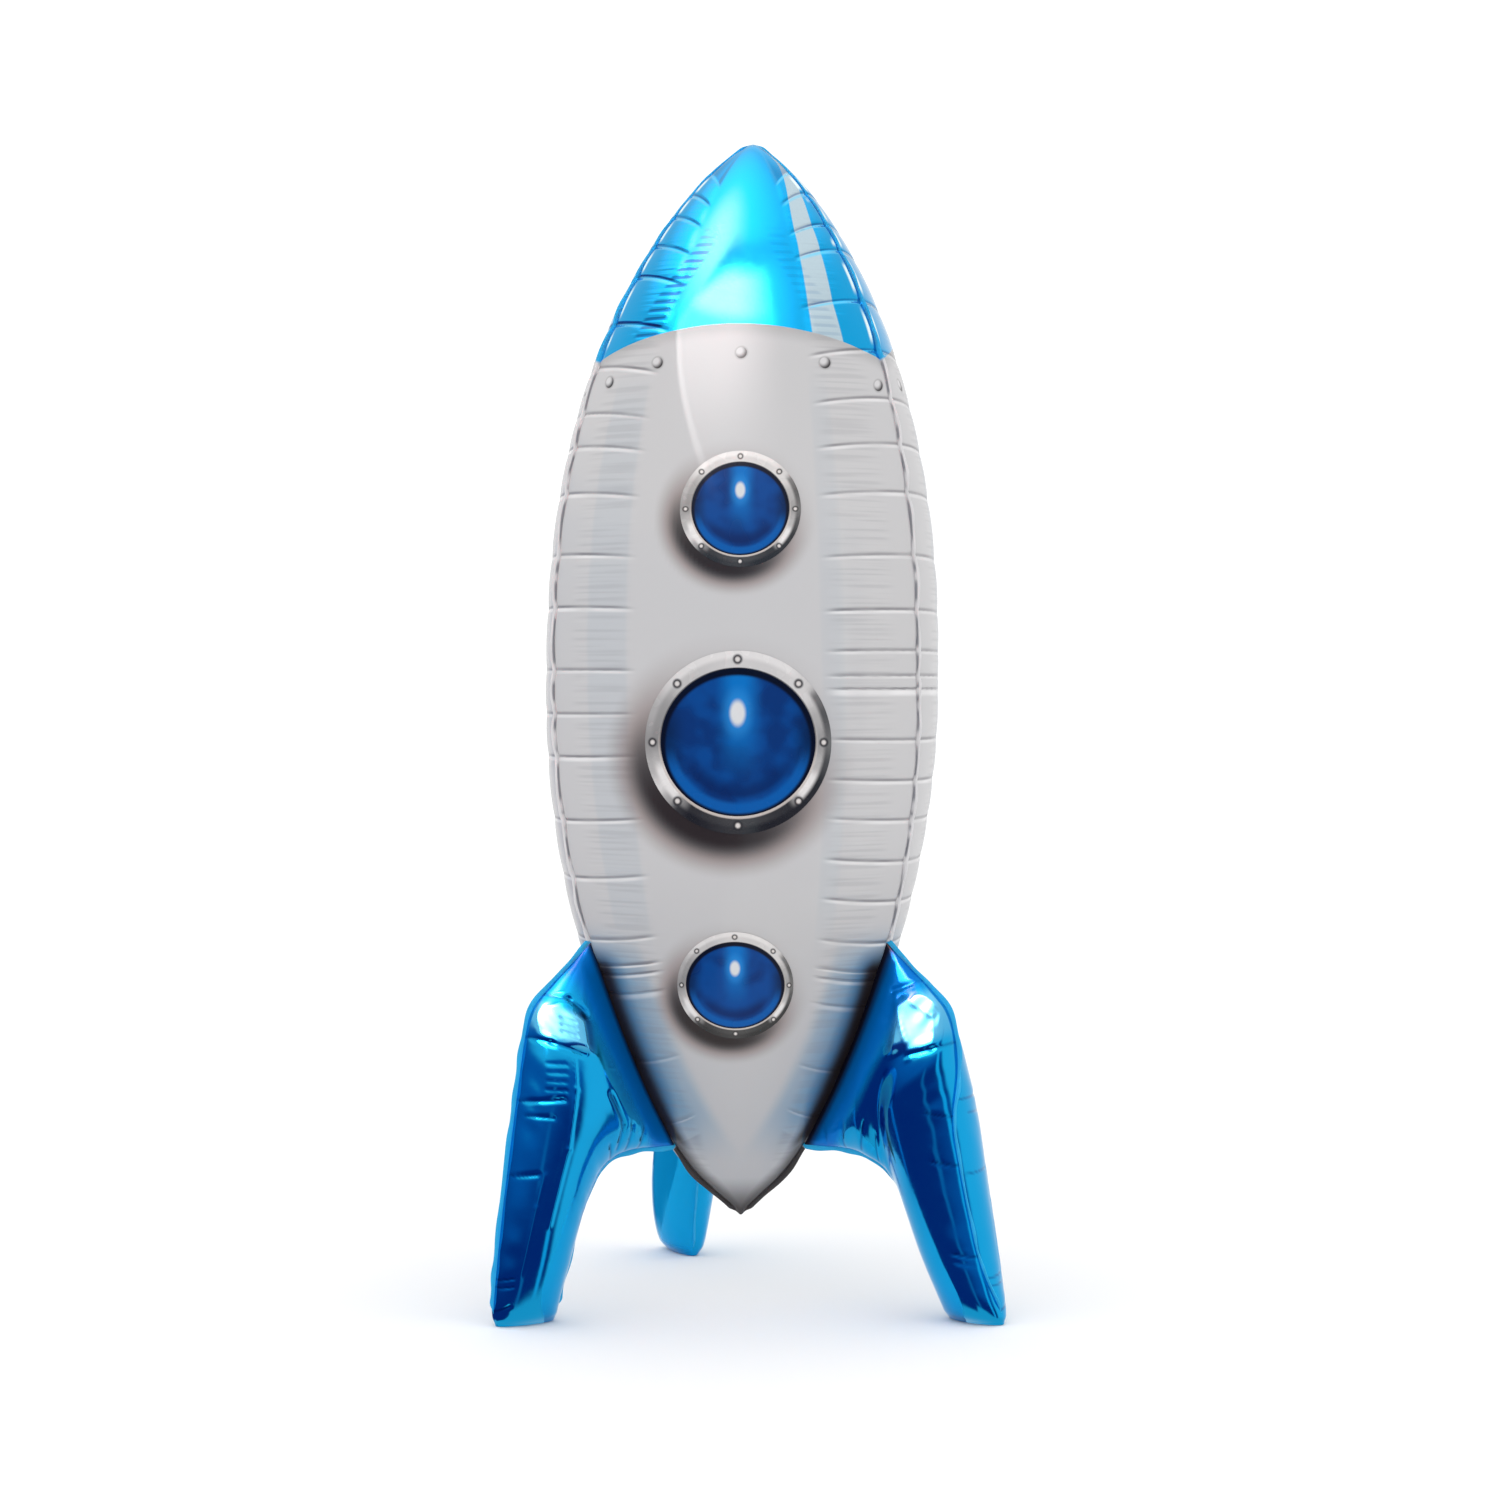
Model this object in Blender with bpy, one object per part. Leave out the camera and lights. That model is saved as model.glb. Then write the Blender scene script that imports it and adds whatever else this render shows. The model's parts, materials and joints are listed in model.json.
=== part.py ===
"""Rocket-shaped foil balloon that stands on three inflated fins.

Metres, +Z up. The front panel's portholes face -Y, and the origin is on the floor at the middle of the
box round the balloon. The hull stands on its own axis, a little in front of the origin, because the rear
fin reaches further back than the two front fins reach forward.

The envelope is made of three long foil panels, heat-sealed to each other along three seams. Every seam
runs from the nose tip down the hull, out along a fin, round its foot, back under the arch and down to
the tail tip. A fin is therefore two foil faces, one from each panel beside its seam, and the sealed
edge stands out as a narrow hem. An azimuth is an angle about the hull's axis in degrees, 0 at the
front and growing towards +X.
"""

import math

import bmesh
import bpy
from mathutils import Vector

# Hull, by its height and its widest section
HEIGHT = 1.117
TAIL_Z = 0.079
WAIST_Z = 0.591
WAIST_R = 0.1887
NOSE_POWERS = (2.36, 0.752)
TAIL_POWERS = (1.94, 0.743)
RIDGE = 0.0422
RIDGE_POWER = 1.3
AXIS_Y = -0.044
# The axis isn't quite straight, and the body is twisted a little about it. By height: how far the axis
# stands to the right of the origin, and the turn in degrees
AXIS_BOW = ((0.0, -0.0050), (0.08, -0.0120), (0.3, -0.0135), (0.6, -0.0090), (0.9, -0.0060), (1.117, 0.0000))
TWIST = ((0.0, 5.8), (0.08, 6.6), (0.30, 4.8), (0.45, 2.4), (0.60, 0.0), (1.117, 0.0))

# Foil wall, as a stand-in for the thin film and the pressed air behind it
WALL = 0.010
NOSE_INSET = 0.014
TAIL_INSET = 0.016
GAP = 0.0003

# Printed nose colour: its lower edge is higher at the middle of a panel than at the seams
NOSE_EDGE_Z = 0.900
NOSE_EDGE_ARC = 0.030

# Seams and panels
SEAM_AZIMUTHS = {"left": -62.4, "right": 57.6, "rear": 184.0}
FULL_TURN = 360.0
PANELS = {
    "front": (SEAM_AZIMUTHS["left"], SEAM_AZIMUTHS["right"]),
    "rear_right": (SEAM_AZIMUTHS["right"], SEAM_AZIMUTHS["rear"]),
    "rear_left": (SEAM_AZIMUTHS["rear"], SEAM_AZIMUTHS["left"] + FULL_TURN),
}
PANEL_COLUMNS = 10
HULL_ROWS = 15
HULL_ROW_POWER = 1.15
NOSE_ROWS = 7
NOSE_ROW_POWER = 1.5

# Portholes on every panel: name, height of the centre, then widths and heights seen from the front
PORTHOLES = (
    # name, centre_z, glass_width, glass_height, rim_width, rim_height
    ("top", 0.7563, 0.0894, 0.0855, 0.1107, 0.1068),
    ("middle", 0.5427, 0.1418, 0.1350, 0.1709, 0.1680),
    ("bottom", 0.3164, 0.0913, 0.0826, 0.1078, 0.1020),
)
PORTHOLE_SIDES = 24
PORTHOLE_TURN = 3.0
CUTTER_NEAR = 0.060
CUTTER_FAR = 0.260

# Fin sections from the root on the hull to the foot. Each runs straight from the fin's outer edge to
# its inner edge, both given as a distance from the hull's axis and a height.
FIN_SECTIONS = (
    # outer_rho, outer_z, inner_rho, inner_z, half_thickness
    (0.1622, 0.3516, 0.0590, 0.1530, 0.0080),
    (0.1840, 0.3310, 0.0840, 0.1530, 0.0250),
    (0.2060, 0.3115, 0.1080, 0.1530, 0.0345),
    (0.2250, 0.2905, 0.1335, 0.1495, 0.0385),
    (0.2335, 0.2605, 0.1545, 0.1390, 0.0395),
    (0.2395, 0.2253, 0.1665, 0.1225, 0.0380),
    (0.2463, 0.1845, 0.1760, 0.1035, 0.0360),
    (0.2545, 0.1360, 0.1855, 0.0805, 0.0335),
    (0.2640, 0.0826, 0.1950, 0.0540, 0.0305),
    (0.2718, 0.0389, 0.2050, 0.0285, 0.0260),
    (0.2758, 0.0120, 0.2105, 0.0095, 0.0200),
    (0.2740, 0.0000, 0.2140, 0.0000, 0.0110),
)
FIN_ROOT_ROWS = 4
FIN_POCKET_ROWS = range(2, 10)
FIN_POCKET_STATIONS = range(3, 8)
FIN_ROUNDNESS = 0.5
FIN_TOP_Z = 0.352
FOOT_RHO = 0.272
# How far the foot of each fin stands aside from the plane of its seam
FOOT_SWAY = {"left": 0.0, "right": 0.0, "rear": 0.045}
# How far each leg is turned about its own middle, in degrees, so that its outer seam faces another way
LEG_TURN = {"left": 0.0, "right": -38.0, "rear": 0.0}
LEG_MIDDLE = ((0.0, 0.244), (0.2, 0.208))
LEG_TURN_SHARE = ((0.0, 0.35), (0.08, 1.0), (0.16, 1.0), (0.27, 0.0))
LEG_TURN_FROM_RHO = 0.14
LEG_TURN_FULL_RHO = 0.20
# How much thicker each leg is than the sections say, below the fin's upper part
LEG_FULLNESS = {"left": 1.0, "right": 1.24, "rear": 0.97}
LEG_ROWS = (2, 5)
FACES = {"left": ("rear", "front"), "right": ("front", "rear"), "rear": ("right", "left")}

# Hem of sealed foil outside every seam
HEM_WIDTH = 0.005
HEM_THICKNESS = 0.001
HEM_TIP_SHARE = 0.12
HEM_MITRE_LIMIT = 0.5

# Flat tab of the self-sealing inflation valve, on the rear hem
VALVE_Z = 0.470
VALVE_WIDTH = 0.022
VALVE_LENGTH = 0.034
VALVE_GAP = 0.0009

# Faces that meet at more than these angles, in degrees, are shown with a sharp edge between them
SMOOTH_ANGLE = 40.0
FIN_SMOOTH_ANGLE = 50.0
HEM_SMOOTH_ANGLE = 30.0

BLUE = (0.010, 0.330, 0.850)
SILVER = (0.640, 0.640, 0.660)
RIM_GREY = (0.420, 0.400, 0.390)
GLASS_BLUE = (0.005, 0.090, 0.480)
CLEAR_FILM = (0.700, 0.720, 0.740)


def clear_scene():
    for old in list(bpy.data.objects):
        bpy.data.objects.remove(old)


def foil(name, colour, roughness, metallic):
    """A material with one plain colour."""
    material = bpy.data.materials.new(name)
    material.use_nodes = True
    shader = material.node_tree.nodes["Principled BSDF"]
    shader.inputs["Base Color"].default_value = (*colour, 1.0)
    shader.inputs["Roughness"].default_value = roughness
    shader.inputs["Metallic"].default_value = metallic
    return material


def add_object(name, mesh, material, smooth_angle=SMOOTH_ANGLE):
    mesh.materials.append(material)
    mesh.shade_smooth()
    mesh.set_sharp_from_angle(angle=math.radians(smooth_angle))
    obj = bpy.data.objects.new(name, mesh)
    bpy.context.scene.collection.objects.link(obj)
    return obj


def add_cutter(name, mesh):
    """A helper solid for Booleans, left out of renders."""
    obj = bpy.data.objects.new(name, mesh)
    bpy.context.scene.collection.objects.link(obj)
    obj.hide_render = True
    obj.display_type = "WIRE"
    return obj


def mesh_from(name, points, faces):
    """A closed mesh with its faces pointing out."""
    shape = bmesh.new()
    verts = [shape.verts.new(p) for p in points]
    for face in faces:
        corners = [verts[i] for k, i in enumerate(face) if i != face[k - 1]]
        if len(corners) > 2:
            shape.faces.new(corners)
    bmesh.ops.recalc_face_normals(shape, faces=shape.faces)
    mesh = bpy.data.meshes.new(name)
    shape.to_mesh(mesh)
    shape.free()
    return mesh


def outward(azimuth):
    """Unit vector from the hull's axis towards an azimuth."""
    angle = math.radians(azimuth)
    return Vector((math.sin(angle), -math.cos(angle), 0.0))


def sideways(azimuth):
    """Unit vector across outward(), towards growing azimuths."""
    angle = math.radians(azimuth)
    return Vector((math.cos(angle), math.sin(angle), 0.0))


def at_height(table, z):
    """The value of a (height, value) table at a height, on straight lines between its rows."""
    for (low, low_value), (high, high_value) in zip(table, table[1:]):
        if z <= high:
            break
    share = min(1.0, (z - low) / (high - low))
    return low_value + (high_value - low_value) * share


def axis_place(z):
    """The point of the hull's axis at a height."""
    return Vector((at_height(AXIS_BOW, z), AXIS_Y, z))


def settled(azimuth, rho, aside, z):
    """A point at a distance from the axis along an azimuth and aside from it, bowed and twisted in place."""
    turned = azimuth + at_height(TWIST, z)
    return axis_place(z) + outward(turned) * rho + sideways(turned) * aside


def profile(z, waist_r, top_z, bottom_z):
    """Mean radius of a hull-shaped surface at a height."""
    if z >= WAIST_Z:
        share, (inner, outer) = (z - WAIST_Z) / (top_z - WAIST_Z), NOSE_POWERS
    else:
        share, (inner, outer) = (WAIST_Z - z) / (WAIST_Z - bottom_z), TAIL_POWERS
    return waist_r * max(0.0, 1.0 - min(1.0, share) ** inner) ** outer


def section(across):
    """Radius factor of the rounded three-sided section, across a panel from seam (0) to seam (1)."""
    return 1.0 + RIDGE * (1.0 - 2.0 * math.sin(math.pi * across) ** RIDGE_POWER)


def nose_edge(across):
    """Height of the nose colour's lower edge across a panel."""
    return NOSE_EDGE_Z + NOSE_EDGE_ARC * (1.0 - (2.0 * across - 1.0) ** 2)


def row_heights(zone, tip, across):
    """Heights of the rows of points of a nose or hull panel, from its tip to the nose colour's edge."""
    if zone == "hull":
        rows, power, edge = HULL_ROWS, HULL_ROW_POWER, nose_edge(across) - GAP / 2
    else:
        rows, power, edge = NOSE_ROWS, NOSE_ROW_POWER, nose_edge(across) + GAP / 2
    return [tip + (row / rows) ** power * (edge - tip) for row in range(rows + 1)]


def ridge_path():
    """Distances from the axis and heights of the hull's corners at a seam, from the nose tip down."""
    heights = row_heights("nose", HEIGHT, 0.0) + row_heights("hull", TAIL_Z, 0.0)[::-1]
    return [(profile(z, WAIST_R, HEIGHT, TAIL_Z) * section(0.0), z) for z in heights]


def ridge_radius(z):
    """Outer radius of the hull's faceted edge at a seam."""
    path = ridge_path()
    for (rho, top), (next_rho, bottom) in zip(path, path[1:]):
        if top >= z >= bottom:
            return rho + (next_rho - rho) * (top - z) / (top - bottom)
    raise ValueError(f"{z} is above or below the hull")


def hull_radius(across, z, skin):
    """Radius of the outer or inner surface of the hull's wall."""
    if skin == "outer":
        return profile(z, WAIST_R, HEIGHT, TAIL_Z) * section(across)
    return profile(z, WAIST_R - WALL, HEIGHT - NOSE_INSET, TAIL_Z + TAIL_INSET) * section(across)


def panel_mesh(name, panel, zone):
    """One wedge of the hull's wall, from a tip to the nose colour's edge."""
    start, end = PANELS[panel]
    rows = HULL_ROWS if zone == "hull" else NOSE_ROWS
    tips = {
        ("hull", "outer"): TAIL_Z,
        ("hull", "inner"): TAIL_Z + TAIL_INSET,
        ("nose", "outer"): HEIGHT,
        ("nose", "inner"): HEIGHT - NOSE_INSET,
    }
    # A push along the wedge's middle leaves the same gap at both of its seams.
    middle = (start + end) / 2
    push = GAP / 2 / math.sin(math.radians((end - start) / 2))
    points, faces, index = [], [], {}
    for skin in ("outer", "inner"):
        tip = tips[zone, skin]
        index[skin, 0] = [len(points)] * (PANEL_COLUMNS + 1)
        points.append(settled(middle, push, 0.0, tip))
        for row in range(1, rows + 1):
            index[skin, row] = []
            for column in range(PANEL_COLUMNS + 1):
                across = column / PANEL_COLUMNS
                z = row_heights(zone, tip, across)[row]
                turn = math.radians(start + across * (end - start) - middle)
                radius = hull_radius(across, z, skin)
                index[skin, row].append(len(points))
                points.append(settled(middle, radius * math.cos(turn) + push, radius * math.sin(turn), z))
    for skin in ("outer", "inner"):
        for row in range(rows):
            low, high = index[skin, row], index[skin, row + 1]
            for column in range(PANEL_COLUMNS):
                faces.append((low[column], low[column + 1], high[column + 1], high[column]))
    for row in range(rows):
        for column in (0, PANEL_COLUMNS):
            outer, outer_next = index["outer", row][column], index["outer", row + 1][column]
            inner, inner_next = index["inner", row][column], index["inner", row + 1][column]
            faces.append((outer, outer_next, inner_next, inner))
    for column in range(PANEL_COLUMNS):
        outer, inner = index["outer", rows], index["inner", rows]
        faces.append((outer[column], outer[column + 1], inner[column + 1], inner[column]))
    return mesh_from(name, points, faces)


def ellipse(width, height, azimuth, distance, centre_z):
    """Points of an upright ellipse that faces an azimuth."""
    points = []
    for side in range(PORTHOLE_SIDES):
        angle = 2 * math.pi * side / PORTHOLE_SIDES
        point = outward(azimuth) * distance + sideways(azimuth) * (math.cos(angle) * width / 2)
        point += axis_place(centre_z) + Vector((0.0, 0.0, math.sin(angle) * height / 2))
        points.append(point)
    return points


def disc_cutter(name, azimuth, centre_z, width, height):
    """An elliptical bar that crosses the wall once, pointing at an azimuth."""
    points = ellipse(width, height, azimuth, CUTTER_NEAR, centre_z)
    points += ellipse(width, height, azimuth, CUTTER_FAR, centre_z)
    count = PORTHOLE_SIDES
    faces = [tuple(range(count)), tuple(range(count, 2 * count))]
    for side in range(count):
        after = (side + 1) % count
        faces.append((side, after, count + after, count + side))
    return add_cutter(name, mesh_from(name, points, faces))


def ring_cutter(name, azimuth, centre_z, outer_size, inner_size):
    """An elliptical tube that crosses the wall once, pointing at an azimuth."""
    count = PORTHOLE_SIDES
    points = []
    for width, height in (outer_size, inner_size):
        points += ellipse(width, height, azimuth, CUTTER_NEAR, centre_z)
        points += ellipse(width, height, azimuth, CUTTER_FAR, centre_z)
    outer_near, outer_far, inner_near, inner_far = (range(count * k, count * (k + 1)) for k in range(4))
    loops = ((outer_near, outer_far), (inner_near, inner_far), (outer_near, inner_near), (outer_far, inner_far))
    faces = []
    for one, other in loops:
        for side in range(count):
            after = (side + 1) % count
            faces.append((one[side], one[after], other[after], other[side]))
    return add_cutter(name, mesh_from(name, points, faces))


def boolean(obj, operation, cutter):
    modifier = obj.modifiers.new(f"{operation.lower()} {cutter.name}", "BOOLEAN")
    modifier.operation = operation
    modifier.object = cutter
    modifier.solver = "EXACT"


def build_panels(silver, blue, rim_metal, glass):
    """Nose and hull of every panel, with the portholes as flush pieces of the hull's wall."""
    for panel, (start, end) in PANELS.items():
        facing = (start + end) / 2 + PORTHOLE_TURN
        add_object(f"nose_panel_{panel}", panel_mesh(f"nose {panel}", panel, "nose"), blue)
        wall = panel_mesh(f"hull {panel}", panel, "hull")
        hull = add_object(f"hull_panel_{panel}", wall, silver)
        for name, z, glass_width, glass_height, rim_width, rim_height in PORTHOLES:
            label = f"{panel}_{name}"
            opening = disc_cutter(f"cut_opening_{label}", facing, z, rim_width + 2 * GAP, rim_height + 2 * GAP)
            boolean(hull, "DIFFERENCE", opening)
            ring = ring_cutter(
                f"cut_rim_{label}",
                facing,
                z,
                (rim_width, rim_height),
                (glass_width + 2 * GAP, glass_height + 2 * GAP),
            )
            rim = add_object(f"porthole_rim_{label}", panel_mesh(f"rim {label}", panel, "hull"), rim_metal)
            boolean(rim, "INTERSECT", ring)
            disc = disc_cutter(f"cut_glass_{label}", facing, z, glass_width, glass_height)
            pane = add_object(f"porthole_glass_{label}", panel_mesh(f"glass {label}", panel, "hull"), glass)
            boolean(pane, "INTERSECT", disc)


def smooth(share):
    """A step from 0 to 1 with level ends."""
    share = max(0.0, min(1.0, share))
    return share * share * (3.0 - 2.0 * share)


def sway(seam, rho, z):
    """How far the middle of a fin stands aside from the plane of its seam."""
    return FOOT_SWAY[seam] * (rho / FOOT_RHO) ** 2 * smooth(1.0 - z / FIN_TOP_Z)


def leg_turn(seam, rho, z):
    """Turn of a leg about its own middle, which fades out towards the fin's root."""
    out = smooth((rho - LEG_TURN_FROM_RHO) / (LEG_TURN_FULL_RHO - LEG_TURN_FROM_RHO))
    return math.radians(LEG_TURN[seam]) * smooth(at_height(LEG_TURN_SHARE, z)) * out


def seam_place(seam, rho, z, aside):
    """A point near the plane of a seam, aside towards growing azimuths."""
    turn = leg_turn(seam, rho, z)
    middle = at_height(LEG_MIDDLE, z)
    turned_rho = middle + (rho - middle) * math.cos(turn) - aside * math.sin(turn)
    turned_aside = (rho - middle) * math.sin(turn) + aside * math.cos(turn)
    return settled(SEAM_AZIMUTHS[seam], turned_rho, turned_aside + sway(seam, rho, z), z)


def fin_stations():
    """Shares of the way along a fin section. The hull's rows of points and the middles between them."""
    outer_z, inner_z = FIN_SECTIONS[0][1], FIN_SECTIONS[0][3]
    rows = [z for z in row_heights("hull", TAIL_Z, 0.0) if inner_z < z < outer_z]
    marks = [0.0] + [(z - inner_z) / (outer_z - inner_z) for z in rows] + [1.0]
    middles = [(one + other) / 2 for one, other in zip(marks, marks[1:])]
    return sorted(marks + middles)


def fin_middle(row, share):
    """Distance and height of a point between a fin section's inner edge (0) and outer edge (1)."""
    outer_rho, outer_z, inner_rho, inner_z, _ = FIN_SECTIONS[row]
    rho = inner_rho + share * (outer_rho - inner_rho)
    z = inner_z + share * (outer_z - inner_z)
    # The first sections bulge outwards, so that the root follows the hull's curved ridge.
    root_outer, root_outer_z, root_inner, root_inner_z, _ = FIN_SECTIONS[0]
    root_z = root_inner_z + share * (root_outer_z - root_inner_z)
    bulge = ridge_radius(root_z) + GAP - (root_inner + share * (root_outer - root_inner))
    return rho + bulge * (1.0 - smooth(row / FIN_ROOT_ROWS)), z


def fin_face_mesh(name, seam, side):
    """One foil face of a fin, hollowed behind, from the seam's plane to the inflated skin."""
    points, faces, index = [], [], {}
    stations = fin_stations()
    last_row, last_station = len(FIN_SECTIONS) - 1, len(stations) - 1
    for row, sizes in enumerate(FIN_SECTIONS):
        share_of_leg = smooth((row - LEG_ROWS[0]) / (LEG_ROWS[1] - LEG_ROWS[0]))
        half = sizes[-1] * (1.0 + (LEG_FULLNESS[seam] - 1.0) * share_of_leg)
        for station, share in enumerate(stations):
            rho, z = fin_middle(row, share)
            skin = max(GAP / 2, half * (4 * share * (1 - share)) ** FIN_ROUNDNESS)
            back = GAP / 2
            if row in FIN_POCKET_ROWS and station in FIN_POCKET_STATIONS:
                back = max(back, skin - WALL)
            index["back", row, station] = len(points)
            points.append(seam_place(seam, rho, z, side * back))
            index["skin", row, station] = index["back", row, station]
            if 0 < station < last_station:
                index["skin", row, station] = len(points)
                points.append(seam_place(seam, rho, z, side * skin))
    for layer in ("skin", "back"):
        for row in range(last_row):
            for station in range(last_station):
                faces.append(
                    (
                        index[layer, row, station],
                        index[layer, row, station + 1],
                        index[layer, row + 1, station + 1],
                        index[layer, row + 1, station],
                    )
                )
    for row in (0, last_row):
        for station in range(last_station):
            faces.append(
                (
                    index["skin", row, station],
                    index["skin", row, station + 1],
                    index["back", row, station + 1],
                    index["back", row, station],
                )
            )
    return mesh_from(name, points, faces)


def build_fins(blue):
    for seam, (before, after) in FACES.items():
        for label, side in ((before, -1), (after, 1)):
            name = f"fin_{seam}_{label}_face"
            add_object(name, fin_face_mesh(name, seam, side), blue, FIN_SMOOTH_ANGLE)


def offset_path(path, distance):
    """The path moved to its left in the (distance, height) plane, with mitred corners."""
    moved = []
    for k, (rho, z) in enumerate(path):
        before, after = path[max(0, k - 1)], path[min(len(path) - 1, k + 1)]
        steps = []
        for one, other in ((before, (rho, z)), ((rho, z), after)):
            run, rise = other[0] - one[0], other[1] - one[1]
            length = math.hypot(run, rise)
            if length > 0:
                steps.append((-rise / length, run / length))
        normal = (sum(s[0] for s in steps), sum(s[1] for s in steps))
        size = math.hypot(*normal)
        normal = (normal[0] / size, normal[1] / size)
        stretch = distance / max(HEM_MITRE_LIMIT, normal[0] * steps[0][0] + normal[1] * steps[0][1])
        moved.append((rho + normal[0] * stretch, z + normal[1] * stretch))
    return moved


def hem_mesh(name, seam, path):
    """A thin strip outside a seam. The path runs with the outside on its left."""
    near, far = offset_path(path, GAP), offset_path(path, GAP + HEM_WIDTH)
    points, faces = [], []
    for (near_rho, near_z), (far_rho, far_z) in zip(near, far):
        for rho, z, aside in (
            (near_rho, near_z, -HEM_THICKNESS / 2),
            (near_rho, near_z, HEM_THICKNESS / 2),
            (far_rho, far_z, HEM_THICKNESS / 2),
            (far_rho, far_z, -HEM_THICKNESS / 2),
        ):
            points.append(seam_place(seam, rho, z, aside))
    for k in range(len(path) - 1):
        for corner in range(4):
            after = (corner + 1) % 4
            faces.append((4 * k + corner, 4 * k + after, 4 * k + 4 + after, 4 * k + 4 + corner))
    end = 4 * (len(path) - 1)
    faces += [(0, 1, 2, 3), (end, end + 1, end + 2, end + 3)]
    return mesh_from(name, points, faces)


def upper_hem_path():
    """From the nose tip down the hull and the fin's outer edge to the foot."""
    fin_top = FIN_SECTIONS[0][1] + HEM_WIDTH
    path = [corner for corner in ridge_path() if corner[1] > fin_top]
    tip, first = path[0], path[1]
    path[0] = tuple(a + HEM_TIP_SHARE * (b - a) for a, b in zip(tip, first))
    path.append((ridge_radius(fin_top), fin_top))
    path += [(outer_rho, outer_z) for outer_rho, outer_z, *_ in FIN_SECTIONS[1:-1]]
    return path


def lower_hem_path():
    """From the foot up the fin's inner edge, round the arch and down to the tail tip."""
    corner = FIN_SECTIONS[0][3] - HEM_WIDTH
    path = [(inner_rho, inner_z) for _, _, inner_rho, inner_z, _ in reversed(FIN_SECTIONS[1:-1])]
    path.append((ridge_radius(corner), corner))
    path += [place for place in ridge_path() if place[1] < corner]
    tip, last = path[-1], path[-2]
    path[-1] = tuple(a + HEM_TIP_SHARE * (b - a) for a, b in zip(tip, last))
    return path


def build_hems(blue):
    for seam in SEAM_AZIMUTHS:
        upper = upper_hem_path()
        add_object(f"hem_{seam}_upper", hem_mesh(f"hem {seam} upper", seam, upper), blue, HEM_SMOOTH_ANGLE)
        lower = lower_hem_path()
        add_object(f"hem_{seam}_lower", hem_mesh(f"hem {seam} lower", seam, lower), blue, HEM_SMOOTH_ANGLE)


def build_valve(film):
    """Flat tab that stands out of the rear hem."""
    points, faces = [], []
    for z in (VALVE_Z - VALVE_WIDTH / 2, VALVE_Z + VALVE_WIDTH / 2):
        inner = ridge_radius(z) + HEM_WIDTH + VALVE_GAP
        for rho in (inner, inner + VALVE_LENGTH):
            for aside in (-HEM_THICKNESS / 2, HEM_THICKNESS / 2):
                points.append(seam_place("rear", rho, z, aside))
    for face in ((0, 1, 3, 2), (4, 5, 7, 6), (0, 1, 5, 4), (2, 3, 7, 6), (0, 2, 6, 4), (1, 3, 7, 5)):
        faces.append(face)
    add_object("inflation_valve_tab", mesh_from("valve tab", points, faces), film, HEM_SMOOTH_ANGLE)


def main():
    clear_scene()
    blue = foil("blue foil", BLUE, 0.18, 0.9)
    silver = foil("silver foil", SILVER, 0.30, 0.5)
    rim_metal = foil("printed rim", RIM_GREY, 0.30, 0.5)
    glass = foil("printed glass", GLASS_BLUE, 0.20, 0.4)
    film = foil("clear film", CLEAR_FILM, 0.25, 0.0)
    build_panels(silver, blue, rim_metal, glass)
    build_fins(blue)
    build_hems(blue)
    build_valve(film)


main()
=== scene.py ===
"""Looks of a rocket-shaped foil balloon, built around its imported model.

Metres, +Z up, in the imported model's frame: the front panel's portholes face -Y and the feet stand on z = 0.
An azimuth is an angle about the hull's axis in degrees, 0 at the front and growing towards +X. A place on a
foil panel is given by its share of the way across from one seam (0) to the next (1) and by its height.
"""

import json
import math

import bpy
import numpy as np
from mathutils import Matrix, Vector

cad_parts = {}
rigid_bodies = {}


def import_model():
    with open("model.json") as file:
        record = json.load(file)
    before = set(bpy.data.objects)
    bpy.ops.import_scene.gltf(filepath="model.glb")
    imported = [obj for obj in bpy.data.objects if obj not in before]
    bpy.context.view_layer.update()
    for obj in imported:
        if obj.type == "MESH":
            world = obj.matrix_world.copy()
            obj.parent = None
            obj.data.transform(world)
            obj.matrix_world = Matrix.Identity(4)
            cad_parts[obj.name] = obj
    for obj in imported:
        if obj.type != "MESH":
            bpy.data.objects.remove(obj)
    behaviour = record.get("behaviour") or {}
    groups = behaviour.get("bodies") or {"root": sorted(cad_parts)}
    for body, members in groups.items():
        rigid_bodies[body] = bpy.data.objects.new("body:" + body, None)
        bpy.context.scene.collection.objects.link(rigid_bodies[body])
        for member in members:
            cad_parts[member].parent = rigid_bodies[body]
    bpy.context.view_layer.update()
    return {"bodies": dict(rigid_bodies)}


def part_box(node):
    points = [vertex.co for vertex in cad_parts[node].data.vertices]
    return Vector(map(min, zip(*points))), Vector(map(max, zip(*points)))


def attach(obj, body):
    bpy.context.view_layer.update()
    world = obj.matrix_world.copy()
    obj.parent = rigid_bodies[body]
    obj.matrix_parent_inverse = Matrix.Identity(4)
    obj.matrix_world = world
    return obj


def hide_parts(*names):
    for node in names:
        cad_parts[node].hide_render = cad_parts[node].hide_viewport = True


bl_info = {
    "name": "Rocket foil balloon",
    "version": (1, 0, 0),
    "blender": (4, 5, 0),
    "location": "3D View > Sidebar > Balloon",
    "description": "Makes the foil, seams, prints and studio of a rocket-shaped balloon",
    "category": "Object",
}

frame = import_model()
BODY = next(iter(frame["bodies"]))

# Hull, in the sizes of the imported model
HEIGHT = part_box("nose_panel_front")[1].z
TAIL_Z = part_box("hull_panel_front")[0].z
WAIST_Z = 0.591
WAIST_R = 0.1887
NOSE_POWERS = (2.36, 0.752)
TAIL_POWERS = (1.94, 0.743)
# The tail is slimmer than that at its very tip: by what share, and how far up
TAIL_TAPER = (0.55, 0.055)
RIDGE = 0.0422
RIDGE_POWER = 1.3
AXIS_Y = -0.044
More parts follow.
